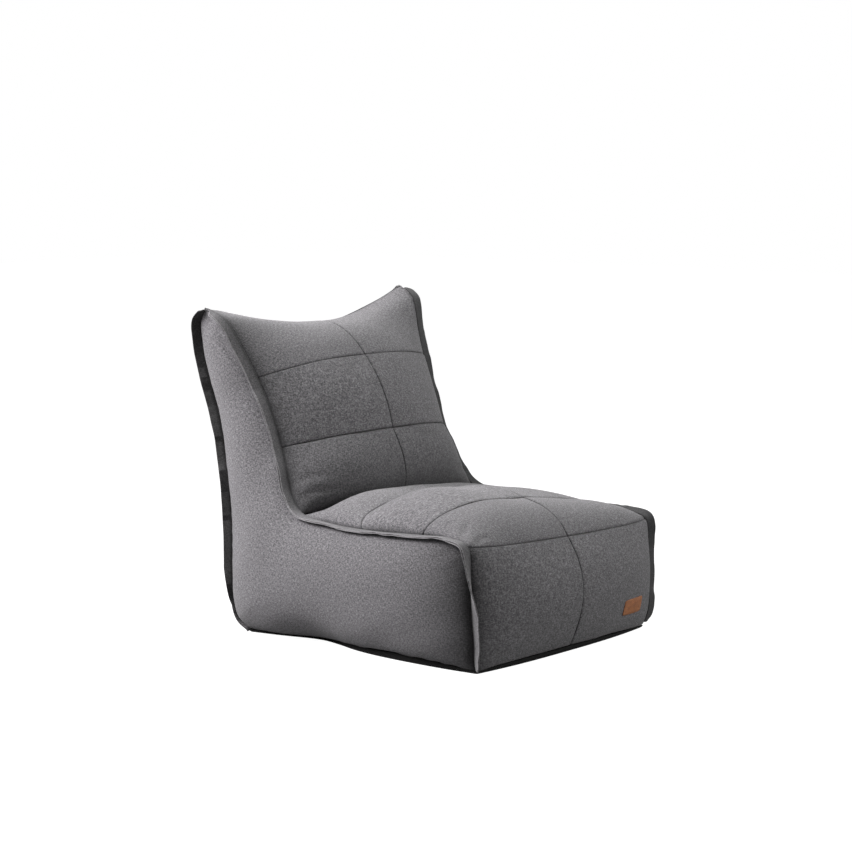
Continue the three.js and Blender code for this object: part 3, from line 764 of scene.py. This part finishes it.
BEADS = grained_material("polystyrene beads", (0.72, 0.72, 0.71), (0.9, 0.9, 0.89), 300.0, (0.6, 0.8),
                         bump=0.5)
NYLON = grained_material("black nylon", (0.006, 0.006, 0.007), (0.016, 0.016, 0.018), 700.0, (0.35, 0.5))
METAL = grained_material("dark plated metal", (0.10, 0.105, 0.115), (0.17, 0.175, 0.185), 900.0, (0.25, 0.42),
                         metallic=0.9, stretch=(1, 1, 0.2))

# ---------- the panels ----------
# Creases in the cover: (start, end, depth, width) in metres.
FRONT_FOLDS = [
    # from the right front corner over the seat
    ((-0.350, -0.385, 0.298), (-0.285, -0.350, 0.335), 0.0075, 0.008),
    ((-0.352, -0.362, 0.303), (-0.300, -0.305, 0.345), 0.0065, 0.009),
    ((-0.345, -0.400, 0.285), (-0.262, -0.398, 0.306), 0.0060, 0.008),
    ((-0.350, -0.398, 0.262), (-0.305, -0.430, 0.228), 0.0045, 0.008),
    # beside the right end of the crease
    ((-0.318, 0.150, 0.352), (-0.215, 0.104, 0.368), 0.0046, 0.010),
    ((-0.312, 0.170, 0.392), (-0.245, 0.118, 0.402), 0.0028, 0.010),
    ((-0.322, 0.120, 0.333), (-0.250, 0.060, 0.356), 0.0034, 0.009),
    # across the left end of the backrest's foot
    ((0.318, 0.165, 0.362), (0.235, 0.110, 0.380), 0.0034, 0.011),
]
SIDE_FOLDS = [
    ((-0.366, 0.336, 0.742), (-0.374, 0.398, 0.768), 0.0050, 0.007),
    ((-0.352, 0.322, 0.708), (-0.368, 0.392, 0.744), 0.0060, 0.008),
    ((-0.342, 0.306, 0.676), (-0.358, 0.372, 0.716), 0.0045, 0.008),
    ((0.352, 0.322, 0.708), (0.368, 0.392, 0.740), 0.0030, 0.007),
    ((-0.356, -0.392, 0.262), (-0.380, -0.330, 0.222), 0.0026, 0.009),
    ((-0.358, -0.380, 0.290), (-0.382, -0.300, 0.262), 0.0022, 0.009),
]
front, across, spans = front_sheet()
middle = len(across) // 2
front = folded(settled(front, [spans[name][1] for name in list(spans)[:-1]], [middle]), FRONT_FOLDS)
# How the panels of each row meet their neighbours: at the row's start, at its end, and at the right and left
# flanges. Each says how much it gathers, how dark the painted shade in the seam's valley is and how far that
# reaches.
MEETS = {
    "front": ((0.8, 0.3, 0.01), CROSS_SEAM, (2.0, 0.8, 0.040), (1.2, 0.6, 0.012)),
    "seat_front": (CROSS_SEAM, CROSS_SEAM, (1.6, 0.5, 0.010), (1.2, 0.5, 0.02)),
    "seat_middle": (CROSS_SEAM, CROSS_SEAM, (1.2, 0.45, 0.008), (1.2, 0.5, 0.02)),
    "seat_rear": (CROSS_SEAM, (1.4, 0.5, 0.015), (1.2, 0.45, 0.008), (1.2, 0.5, 0.02)),
    # painted shade: wide along the backrest's foot at the crease, and dark beside the right flange up the
    # backrest
    "backrest_lower": ((2.0, 0.85, 0.110), CROSS_SEAM, (1.5, 1.0, 0.040), (1.3, 0.6, 0.015)),
    "backrest_middle": (CROSS_SEAM, CROSS_SEAM, (1.2, 1.0, 0.032), (1.2, 0.5, 0.012)),
    "backrest_upper": (CROSS_SEAM, (0.2, 0.3, 0.003), (1.2, 1.0, 0.022), (1.2, 0.4, 0.01)),
}
seed = 3
for row, (start, end) in spans.items():
    first_meets, last_meets, right_meets, left_meets = MEETS[row]
    for side, columns in (("right", slice(0, middle + 1)), ("left", slice(middle, None))):
        part = front[start:end + 1, columns]
        ends = (right_meets, MIDDLE_SEAM) if side == "right" else (MIDDLE_SEAM, left_meets)
        panel = sewn_panel(f"{side}_{row}_panel_cover", part, MELANGE, seed,
                           (first_meets, last_meets, *ends))
        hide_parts(f"{side}_{row}_panel")
        seed += 1

rear, rear_across = rear_sheet()
rear_middle = len(rear_across) // 2
in_window = np.clip((rear[..., 2] - ZIP_BOTTOM + 0.008) / 0.012, 0, 1)
in_window = in_window * np.clip((ZIP_TOP + 0.008 - rear[..., 2]) / 0.012, 0, 1)
parting = ZIP_WINDOW * in_window * np.clip(1 - np.abs(rear[..., 0]) / 0.05, 0, 1)
for side, columns in (("left", slice(0, rear_middle + 1)), ("right", slice(rear_middle, None))):
    part = rear[:, columns].copy()
    part[..., 0] += parting[:, columns] * (1 if side == "left" else -1)
    panel = sewn_panel(f"{side}_rear_panel_cover", part, MELANGE, seed,
                       ((0.8, 0.4, 0.01), (0.0, 0.2, 0.003), (1.2, 0.25, 0.008), (1.2, 0.25, 0.008)))
    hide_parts(f"{side}_rear_panel")
    seed += 1

for side, sign in (("left", 1), ("right", -1)):
    grid = side_sheet(sign)
    flat = np.stack([grid[..., 1], grid[..., 2]], axis=-1)
    ends = ((1.3, 0.35, 0.005), (1.2, 0.45, 0.010))
    if side == "left":
        grid, flat, ends = grid[:, ::-1], flat[:, ::-1], ends[::-1]
    sheet = folded(settled(grid, [], []), SIDE_FOLDS)
    # painted shade: wide along the side panel's front seam, narrow along its other edges
    panel = sewn_panel(f"{side}_side_panel_cover", sheet, MELANGE, seed,
                       ((0.6, 0.3, 0.01), (2.0, 1.0, 0.095), *ends), cloth=flat)
    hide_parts(f"{side}_side_panel")
    seed += 1


# ---------- the base ----------
def base_cover():
    """The base lies flat on the floor and turns straight up at its rim to its seam with the other panels."""
    share = spaced(0.74, 0.013)
    side = base_seam(places_along(base_seam, 0, len(BASE_SEAM) - 1, share))
    u = across_places(0.014)
    bow = 1 - np.abs(u)[None, :] ** 2.6
    half = side[:, 0:1]
    x = u * (half + 0.001)
    end_off = 0.74 * np.minimum(share, 1 - share)[:, None]
    y = side[:, 1:2] - 0.022 * bow * share[:, None] ** 8 + 0.030 * bow * (1 - share[:, None]) ** 8
    rim = side[:, 2:3] * np.exp(-(((1 - np.abs(u)) * half / 0.0014) ** 2))
    rim = np.maximum(rim, (0.006 + 0.008 * bow) * np.exp(-((end_off / 0.0014) ** 2)))
    upper = leaned(np.stack([x, y, rim + 0.0012], axis=-1))
    lower = upper - (0, 0, 0.0011)
    return closed_sheet("base_panel_cover", upper, lower, upper.copy(), np.zeros(upper.shape[:2]))


base = add_object("base_panel_cover", base_cover(), BASE_CLOTH)
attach(base, BODY)
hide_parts("base_panel")


# ---------- edge flanges ----------
LAYER_THICK = 0.0015


def seam_flange(name, seam, first, last, side, tilt, width, seed, material, waviness=1.0, shaded=0.0,
                taper=0.012, stepped=0.0):
    """Two sewn seam allowances that stand out of a seam. tilt is how far they turn from straight sideways
    towards the cover's outward side, in degrees, at shares along the seam. They are painted darker towards
    the seam as painted shade, and shaded adds painted shade over their whole width."""
    stations = 230
    places = even_places(seam, first, last, stations)
    line = seam(places)
    run = lengths_along(line)
    tangent = np.gradient(line, axis=0)
    sideways = np.array([1.0, 0, 0])
    outward = np.cross(np.broadcast_to(sideways, tangent.shape), tangent * (0, 1, 1))
    outward /= np.linalg.norm(outward, axis=1, keepdims=True)
    share = run / run[-1]
    turn = np.radians(np.interp(share, *zip(*tilt)))
    turn = turn + 0.10 * waviness * random_line(run, 0.07, seed)
    reach = sideways * np.cos(turn)[:, None] + outward * np.sin(turn)[:, None]
    lift = -sideways * np.sin(turn)[:, None] + outward * np.cos(turn)[:, None]
    profile = np.array([0, 0.25, 0.5, 0.75, 0.92, 0.985, 1.0])
    layers, cloth = [], []
    around_profile = np.concatenate([profile, profile[::-1]])
    # painted shade: darkest at the flange's root, and over the whole flange where shaded is set
    shade = np.tile(np.maximum(np.exp(-around_profile / 0.22), shaded), (stations, 1))
    # the free edge is painted paler for its cut threads and as a painted highlight; stepped adds paler
    # patches along the rear flanges
    frayed_and_highlit = np.tile(np.clip((around_profile - 0.93) / 0.05, 0, 1), (stations, 1))
    patches = stepped * 0.55 * (random_line(run, 0.05, seed + 31) > -0.15) * (share > 0.2)
    frayed_and_highlit = np.maximum(frayed_and_highlit, patches[:, None] * (around_profile > 0.3))
    for layer, sign in ((0, -1), (1, 1)):
        long = width * (1 - 0.05 * layer) * (1 + 0.04 * random_line(run, 0.05, seed + 3 + layer))
        long = long * np.clip(share / 0.012, 0.35, 1) ** 0.5 * np.clip((1 - share) / taper, 0.05, 1) ** 0.5
        long = long * np.interp(share, [0, 0.16], [1 - 0.2 * stepped, 1])
        long = long * (1 - stepped * layer * (0.16 + 0.13 * np.sign(random_line(run, 0.055, seed + 21))))
        apart = 0.0002 + 0.0009 * np.abs(random_line(run, 0.035, seed + 5 + layer))
        gape = 0.0008 + apart[:, None] * profile**1.5
        wave = waviness * 0.0022 * random_line(run, 0.045, seed + 9)[:, None] * profile**2
        wave = wave + waviness * 0.0007 * random_line(run, 0.013, seed + 11 + layer)[:, None] * profile**2
        middle_line = sign * gape + wave
        out = profile[None, :] * long[:, None]
        thick = LAYER_THICK / 2 * np.array([1, 1, 1, 1, 1, 0.8, 0.35])

        def place(offset):
            stands_out = reach[:, None] * (out - 0.004)[..., None]
            return line[:, None] + stands_out + lift[:, None] * offset[..., None]

        upper, lower = place(middle_line + thick), place(middle_line - thick)
        rings = np.concatenate([upper, lower[:, ::-1]], axis=1)
        rings = leaned(rings * (side, 1, 1))
        if side > 0:
            rings = rings[:, ::-1]
        across_cloth = np.concatenate([out, out[:, ::-1]], axis=1)
        laid = np.stack([across_cloth, np.broadcast_to(run[:, None], across_cloth.shape),
                         np.full(across_cloth.shape, seed + layer * 0.5)], axis=-1)
        layers.append(ring_solid(rings))
        cloth.append(laid.reshape(-1, 3))
    mesh = joined_mesh(name, layers)
    store_cloth(mesh, np.concatenate(cloth))
    store_value(mesh, "painted_shade", np.tile(shade.ravel(), 2))
    store_value(mesh, "frayed_and_highlit", np.tile(frayed_and_highlit.ravel(), 2))
    piece = add_object(name, mesh, material)
    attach(piece, BODY)
    return piece


FRONT_TILTS = {
    # shares along the seam from the base, and degrees
    "right": [(0, 60), (0.04, 68), (0.09, 68), (0.12, 55), (0.155, 20), (0.19, 2), (0.3, 1), (0.5, 2),
              (0.58, -2), (0.66, -6), (0.75, -13), (0.83, -22), (0.92, -24), (1, -12)],
    "left": [(0, 0), (0.14, 4), (0.2, 22), (0.33, 30), (0.45, 12), (0.6, 0), (1, 0)],
}
for side, sign in (("right", -1), ("left", 1)):
    right = side == "right"
    # The left flange, on the far side, gets painted shade over its whole width.
    flange = seam_flange(f"{side}_front_flange_cloth", side_seam, 0.02 if right else 0.16, RIDGE - 0.25, sign,
                         FRONT_TILTS[side], FLANGE_WIDTH, 40 if right else 60, SHADED_FLANGE_MELANGE,
                         shaded=0.0 if right else 0.88)
    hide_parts(f"{side}_front_flange")
    flange = seam_flange(f"{side}_rear_flange_cloth", rear_seam, 0.12, len(REAR_SEAM) - 2.6, sign,
                         [(0, 30), (0.12, 42), (1, 45)] if right else [(0, 70), (0.2, 60), (1, 55)],
                         FLANGE_WIDTH + 0.001, 80 if right else 95, REAR_CLOTH, waviness=1.4,
                         taper=0.14, stepped=1.0)
    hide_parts(f"{side}_rear_flange")


# ---------- the leather tag ----------
def front_at(x, z):
    """The front panel's surface at a place across and a height: how far forward it lies."""
    rows = front[:spans["front"][1] + 1]
    heights = np.array([np.interp(x, row[:, 0], row[:, 2]) for row in rows])
    depths = np.array([np.interp(x, row[:, 0], row[:, 1]) for row in rows])
    return float(np.interp(z, heights, depths))


def leather_tag(x=0.236, z=0.079, width=0.090, height=0.040, columns=30, rows=16):
    """A blank tag with rounded corners, sewn on along its edge and following the front's curve."""
    grid_u, grid_v = np.meshgrid(np.linspace(-1, 1, columns), np.linspace(-1, 1, rows))
    over = x + width / 2 * grid_u * (1 - 0.05 * np.abs(grid_v) ** 10)
    up = z + height / 2 * grid_v * (1 - 0.10 * np.abs(grid_u) ** 14)
    depth = np.array([[front_at(a, b) for a, b in zip(*line)] for line in zip(over, up)])
    lying = np.stack([over, depth, up], axis=-1)
    out = normals_of(lying)
    edge = np.minimum((1 - np.abs(grid_u)) * width / 2, (1 - np.abs(grid_v)) * height / 2)
    sewn = np.exp(-(((edge - 0.0035) / 0.0012) ** 2))
    lift = 0.0026 - 0.0006 * sewn - 0.0008 * np.exp(-edge / 0.0007)
    lift = lift + 0.0005 * np.sin(grid_u * 3.4 + 0.6) * (1 - sewn)
    outer = lying + out * lift[..., None]
    inner = lying + out * 0.0006
    cloth = np.stack([grid_u * width / 2, grid_v * height / 2, 0 * grid_u], axis=-1)
    return closed_sheet("leather_tag_cover", outer, inner, cloth, sewn)


tag = add_object("leather_tag_cover", leather_tag(), LEATHER)
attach(tag, BODY)
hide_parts("leather_tag")


# ---------- the zip ----------
def rounded_bar(path, width, thick, around=10):
    """A bar with a rounded cross-section along a path in the YZ plane; width is across, along X."""
    path = np.asarray(path, float)
    direction = np.gradient(path, axis=0)
    direction /= np.linalg.norm(direction, axis=1, keepdims=True)
    side = np.stack([direction[:, 1], -direction[:, 0]], axis=-1)
    turn = np.linspace(0, 2 * np.pi, around, endpoint=False)
    c, d = (np.sign(v) * np.abs(v) ** 0.6 for v in (np.cos(turn), np.sin(turn)))
    rings = np.empty((len(path), around, 3))
    rings[..., 0] = width / 2 * c
    rings[..., 1:] = path[:, None] + side[:, None] * (thick / 2 * d)[None, :, None]
    return ring_solid(rings)


def cast_plate(outline, back, front, round_off=0.0003):
    """A plate with softened edges: its outline is (x, z) points, and it lies between two depths."""
    outline = np.asarray(outline, float)
    middle = outline.mean(axis=0)
    size = np.abs(outline - middle).max()
    rings = []
    edges = ((round_off, back), (0, back + round_off), (0, front - round_off), (round_off, front))
    for inset, depth in edges:
        ring = middle + (outline - middle) * (1 - inset / size)
        rings.append(np.stack([ring[:, 0], np.full(len(ring), depth), ring[:, 1]], axis=-1))
    return ring_solid(np.array(rings))


def rounded_shape(half_width, half_height, centre_z, power=4.0, narrow=0.0, count=40):
    """An outline like a rounded rectangle, narrower towards its bottom."""
    turn = np.linspace(0, 2 * np.pi, count, endpoint=False)
    x = np.sign(np.cos(turn)) * np.abs(np.cos(turn)) ** (2 / power)
    z = np.sign(np.sin(turn)) * np.abs(np.sin(turn)) ** (2 / power)
    return np.stack([half_width * x * (1 - narrow * (0.5 - z / 2)), centre_z + half_height * z], axis=-1)


def zip_tape(side):
    """A woven tape beside the teeth, with a little wave where it is stitched."""
    along = np.linspace(ZIP_BOTTOM - 0.008, ZIP_TOP + 0.008, 90)
    over = np.linspace(0, 1, 9)
    x = side * (0.0019 + 0.017 * over)[None, :] + 0 * along[:, None]
    z = along[:, None] + 0 * x
    wave = 0.0005 * random_line(along, 0.03, 71 + side)[:, None] * over[None, :]
    cord = 0.0005 * np.exp(-(((over - 0.12) / 0.08) ** 2))[None, :]
    outer = np.stack([x, 0.3955 + wave + cord, z], axis=-1)
    inner = outer - (0, 0.0009, 0)
    if side > 0:
        outer, inner = outer[:, ::-1], inner[:, ::-1]
    cloth = np.stack([outer[..., 0], outer[..., 2], 0 * x], axis=-1)
    return closed_sheet(f"zip_tape_{side}", outer, inner, cloth, np.zeros(x.shape))


def zip_teeth(side):
    """The moulded teeth along one tape: each has a rounded head beside the run of the slider's bridge."""
    turn = np.linspace(0, 2 * np.pi, 8, endpoint=False)
    parts = []
    pitch = 0.003
    first = ZIP_BOTTOM + pitch * (0.5 if side > 0 else 1.0)
    for z in np.arange(first, ZIP_TOP, pitch):
        rings = []
        for x, tall, deep in ((0.0039, 0.0008, 0.0007), (0.0030, 0.0009, 0.0010), (0.0016, 0.0007, 0.0010),
                              (0.0011, 0.0009, 0.0011), (0.0007, 0.0006, 0.0008)):
            ring = [np.full(8, side * x), 0.3969 + deep * np.cos(turn), z + tall * np.sin(turn)]
            rings.append(np.stack(ring, axis=-1))
        rings = np.array(rings)
        parts.append(ring_solid(rings if side > 0 else rings[:, ::-1]))
    return joined_mesh(f"zip_teeth_{side}", parts)


for side, sign in (("left", 1), ("right", -1)):
    tape = add_object(f"{side}_zip_tape_cloth", zip_tape(sign), TAPE)
    teeth = add_object(f"{side}_zip_teeth_run", zip_teeth(sign), NYLON, subdivide=0)
    for piece, node in ((tape, f"{side}_zip_tape"), (teeth, f"{side}_zip_teeth")):
        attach(piece, BODY)
        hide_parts(node)

for name, height, half_width in (("zip_top_stop", ZIP_TOP + 0.0035, 0.0034),
                                 ("zip_bottom_stop", ZIP_BOTTOM - 0.004, 0.0039)):
    clamp = cast_plate(rounded_shape(half_width, 0.0017, height), 0.3957, 0.3981, 0.0005)
    stop = add_object(f"{name}_clamp", joined_mesh(name, [clamp]), METAL, subdivide=1)
    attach(stop, BODY)
    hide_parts(name)


def slider_body():
    """The slider: a plate before and behind the teeth, a bridge between them, and a loop for the pull."""
    z = ZIP_TOP - 0.008
    plate = rounded_shape(0.0055, 0.0070, z, 5.0, 0.22)
    front_plate, rear_plate = cast_plate(plate, 0.3986, 0.3999), cast_plate(plate, 0.3928, 0.3941)
    bridge = cast_plate(rounded_shape(0.0005, 0.0020, z + 0.004, 4.0), 0.3935, 0.3990, 0.0001)
    turn = np.linspace(0, np.pi, 15)
    loop_path = np.stack([0.3993 + 0.0042 * np.sin(turn), z + 0.0008 + 0.0033 * np.cos(turn)], axis=-1)
    return [front_plate, rear_plate, bridge, rounded_bar(loop_path, 0.0017, 0.0011)]


def pull_tab():
    """The pull: a crossbar that hangs in the slider's loop, two arms and a tapered tab."""
    y, z = 0.4012, ZIP_TOP - 0.0082
    back, front = y - 0.0006, y + 0.0006
    crossbar = cast_plate(rounded_shape(0.0040, 0.0006, z, 6.0, count=24), back, front, 0.0002)
    arm = rounded_shape(0.00068, 0.0048, z - 0.0046, 6.0, count=24)
    arms = [cast_plate(arm + (x, 0), back, front, 0.0002) for x in (-0.0026, 0.0026)]
    tab = cast_plate(rounded_shape(0.0040, 0.0098, z - 0.0181, 3.6, 0.18), back, front, 0.0003)
    grip = cast_plate(rounded_shape(0.0024, 0.0055, z - 0.0190, 3.0), y - 0.0008, y + 0.0008, 0.0003)
    return [crossbar, *arms, tab, grip]


for node, parts in (("zip_slider", slider_body()), ("zip_pull", pull_tab())):
    piece = add_object(f"{node}_casting", joined_mesh(node, parts), METAL, subdivide=1)
    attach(piece, node)
    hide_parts(node)


# ---------- the liner bags and the beads in them ----------
# Seat bag sections from the rear to the front, in millimetres: [y, half width, lowest z, highest z].
SEAT_BAG = [
    [352, 296, 44, 285], [330, 308, 30, 300], [150, 312, 36, 306], [60, 312, 38, 322],
    [-150, 320, 16, 338], [-300, 326, 14, 318], [-380, 322, 18, 286], [-415, 306, 40, 240],
]
# Backrest bag sections from the bottom up, in millimetres: [z, half width, front y, rear y].
BACK_BAG = [
    [326, 284, 158, 340], [356, 292, 140, 352], [430, 288, 152, 370], [500, 284, 176, 400],
    [600, 290, 216, 436], [680, 298, 272, 446], [722, 290, 330, 440],
]


def bag_rings(sections, power, inset, upright):
    """Rings of a filled bag through its sections, with rounded ends."""
    sections = np.array(sections, float) / 1000
    run = lengths_along(sections[:, :1])
    even = np.linspace(0, 1, 200)
    places = np.interp(np.linspace(0, 1, 70), even, np.interp(even, run / run[-1], np.arange(len(sections))))
    line = np.stack([np.interp(places, np.arange(len(sections)), column) for column in sections.T], axis=-1)
    share = np.linspace(0, 1, len(line))
    shrink = np.minimum(share, 1 - share) / 0.05
    shrink = np.sqrt(np.clip(1 - (1 - np.clip(shrink, 0, 1)) ** 2, 0.004, 1))
    turn = np.linspace(0, 2 * np.pi, 80, endpoint=False)
    c, d = (np.sign(v) * np.abs(v) ** (2 / power) for v in (np.cos(turn), np.sin(turn)))
    half_wide = (line[:, 1] - inset)[:, None] * (0.35 + 0.65 * shrink[:, None])
    half_deep = ((line[:, 3] - line[:, 2]) / 2 - inset)[:, None] * (0.25 + 0.75 * shrink[:, None])
    middle = ((line[:, 3] + line[:, 2]) / 2)[:, None]
    along = line[:, 0:1] + 0 * c[None, :]
    x, depth = half_wide * c, middle + half_deep * d
    rings = np.stack([x, depth, along] if upright else [x, along, depth], axis=-1)
    return rings if upright else rings[:, ::-1]


def soft_bag(name, sections, power, inset, upright, seed, slack, material):
    """A bag, or the beads in it: its surface sinks into shallow irregular folds."""
    rings = bag_rings(sections, power, inset, upright)
    middle = rings.mean(axis=1, keepdims=True)
    away = rings - middle
    away /= np.maximum(np.linalg.norm(away, axis=-1, keepdims=True), 1e-6)
    around = np.linspace(0, 1.6, rings.shape[1], endpoint=False)[None, :] + 0 * rings[..., 0]
    along = np.linspace(0, 0.8, rings.shape[0])[:, None] + 0 * rings[..., 0]
    wrap = np.sin(np.pi * around / 1.6)
    sink = slack * (0.5 + 0.5 * lumps(around, along, 0.14, seed) * wrap)
    gathers = np.abs(random_line(around, 0.05, seed + 1))
    sink += slack * 0.6 * gathers * wrap * np.abs(np.cos(np.pi * along / 0.8)) ** 4
    rings = rings - away * sink[..., None]
    points, faces = ring_solid(rings)
    mesh = joined_mesh(name, [(points, faces)])
    store_cloth(mesh, np.stack([around, along, 0 * along], axis=-1))
    store_value(mesh, "painted_shade", np.zeros(len(points)))
    piece = add_object(name, mesh, material)
    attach(piece, BODY)
    return piece


for part, sections, power, upright in (("seat", SEAT_BAG, 4.5, False), ("back", BACK_BAG, 3.2, True)):
    liner_bag = soft_bag(f"{part}_liner_bag_cloth", sections, power, 0, upright, 120, 0.004, LINER_CLOTH)
    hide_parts(f"{part}_liner_bag")
    fill = soft_bag(f"{part}_bead_fill_heap", sections, power, 0.008, upright, 120, 0.004, BEADS)
    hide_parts(f"{part}_bead_fill")


def liner_closure(node):
    """A strip of hook-and-loop tape over a bag's port, a little wavy at its edges."""
    low, high = (np.array(v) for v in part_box(node))
    u, v = np.meshgrid(np.linspace(-1, 1, 26), np.linspace(-1, 1, 12))
    x = 0.075 * u * (1 - 0.03 * np.abs(v) ** 10)
    z = (low[2] + high[2]) / 2 + 0.024 * v * (1 - 0.06 * np.abs(u) ** 16)
    lean = (high[1] - low[1] - 0.002) / (high[2] - low[2])
    wave = 0.0006 * np.sin(u * 9) * np.abs(v) ** 3
    y = (low[1] + high[1]) / 2 + lean * (z - (low[2] + high[2]) / 2) + wave
    inner = np.stack([x, y - 0.0009, z], axis=-1)[:, ::-1]
    outer = np.stack([x, y + 0.0009, z], axis=-1)[:, ::-1]
    cloth = np.stack([x, z, 0 * x], axis=-1)
    return closed_sheet(f"{node}_strip", outer, inner, cloth, np.zeros(x.shape))


for part in ("seat", "back"):
    strip = add_object(f"{part}_liner_closure_strip", liner_closure(f"{part}_liner_closure"), LINER_CLOTH)
    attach(strip, BODY)
    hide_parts(f"{part}_liner_closure")


# ---------- the camera, lights and floor ----------
camera_data = bpy.data.cameras.new("camera")
camera_data.lens = 105.63
camera_data.sensor_width = 36
camera_data.clip_end = 60
camera = bpy.data.objects.new("camera", camera_data)
camera.location = (-4.7466, -3.9587, 1.2492)
azimuth, elevation = 0.873058, 0.118608
level = math.cos(elevation)
looking = Vector((math.sin(azimuth) * level, math.cos(azimuth) * level, -math.sin(elevation)))
camera.rotation_mode = "QUATERNION"
camera.rotation_quaternion = looking.to_track_quat("-Z", "Y")
bpy.context.scene.collection.objects.link(camera)
bpy.context.scene.camera = camera


def softbox(name, place, aim, size, power, color=(1, 1, 1)):
    data = bpy.data.lights.new(name, "AREA")
    data.shape = "RECTANGLE"
    data.size, data.size_y = size
    data.energy = power
    data.color = color
    lamp = bpy.data.objects.new(name, data)
    lamp.location = place
    lamp.rotation_mode = "QUATERNION"
    lamp.rotation_quaternion = (Vector(aim) - Vector(place)).to_track_quat("-Z", "Y")
    bpy.context.scene.collection.objects.link(lamp)


softbox("key softbox", (-2.1, 2.15, 2.1), (0, 0, 0.35), (1.3, 1.3), 130, (1.0, 0.965, 1.0))
softbox("high softbox", (-2.2, 1.6, 3.2), (0, 0, 0.35), (1.6, 1.6), 92)
softbox("overhead softbox", (-0.3, -0.3, 3.6), (0, 0, 0.3), (2.4, 2.4), 54)
softbox("right fill", (3.0, -2.6, 1.6), (0, 0, 0.35), (2.2, 2.2), 44)
softbox("front fill", (0.3, -4.0, 1.2), (0, 0, 0.35), (2.2, 2.2), 25)


ROOM_LIGHT = 0.12


def pale_studio():
    """An even pale room: it looks white, and lights the chair softly."""
    world = bpy.data.worlds.new("pale studio")
    world.use_nodes = True
    w = Wiring(world.node_tree)
    seen = w.node("ShaderNodeLightPath").outputs["Is Camera Ray"]
    strength = w.ramp(seen, 0, 1, ROOM_LIGHT, 1.0)
    background = world.node_tree.nodes["Background"]
    background.inputs["Color"].default_value = (1, 1, 1, 1)
    world.node_tree.links.new(strength, background.inputs["Strength"])
    bpy.context.scene.world = world


pale_studio()
bpy.context.scene.view_settings.view_transform = "Standard"


def pale_floor():
    mesh = bpy.data.meshes.new("floor")
    reach = 14
    corners = [(-reach, -reach, 0), (reach, -reach, 0), (reach, reach, 0), (-reach, reach, 0)]
    mesh.from_pydata(corners, [], [(0, 1, 2, 3)])
    floor = bpy.data.objects.new("floor", mesh)
    bpy.context.scene.collection.objects.link(floor)
    material, w, shader = new_material("pale floor")
    shader.inputs["Base Color"].default_value = (0.25, 0.25, 0.25, 1)
    shader.inputs["Roughness"].default_value = 1
    shader.inputs["Specular IOR Level"].default_value = 0
    shader.inputs["Emission Color"].default_value = (1, 1, 1, 1)
    seen = w.node("ShaderNodeLightPath").outputs["Is Camera Ray"]
    w.tree.links.new(w.ramp(seen, 0, 1, 0.0, 0.985), shader.inputs["Emission Strength"])
    mesh.materials.append(material)


pale_floor()
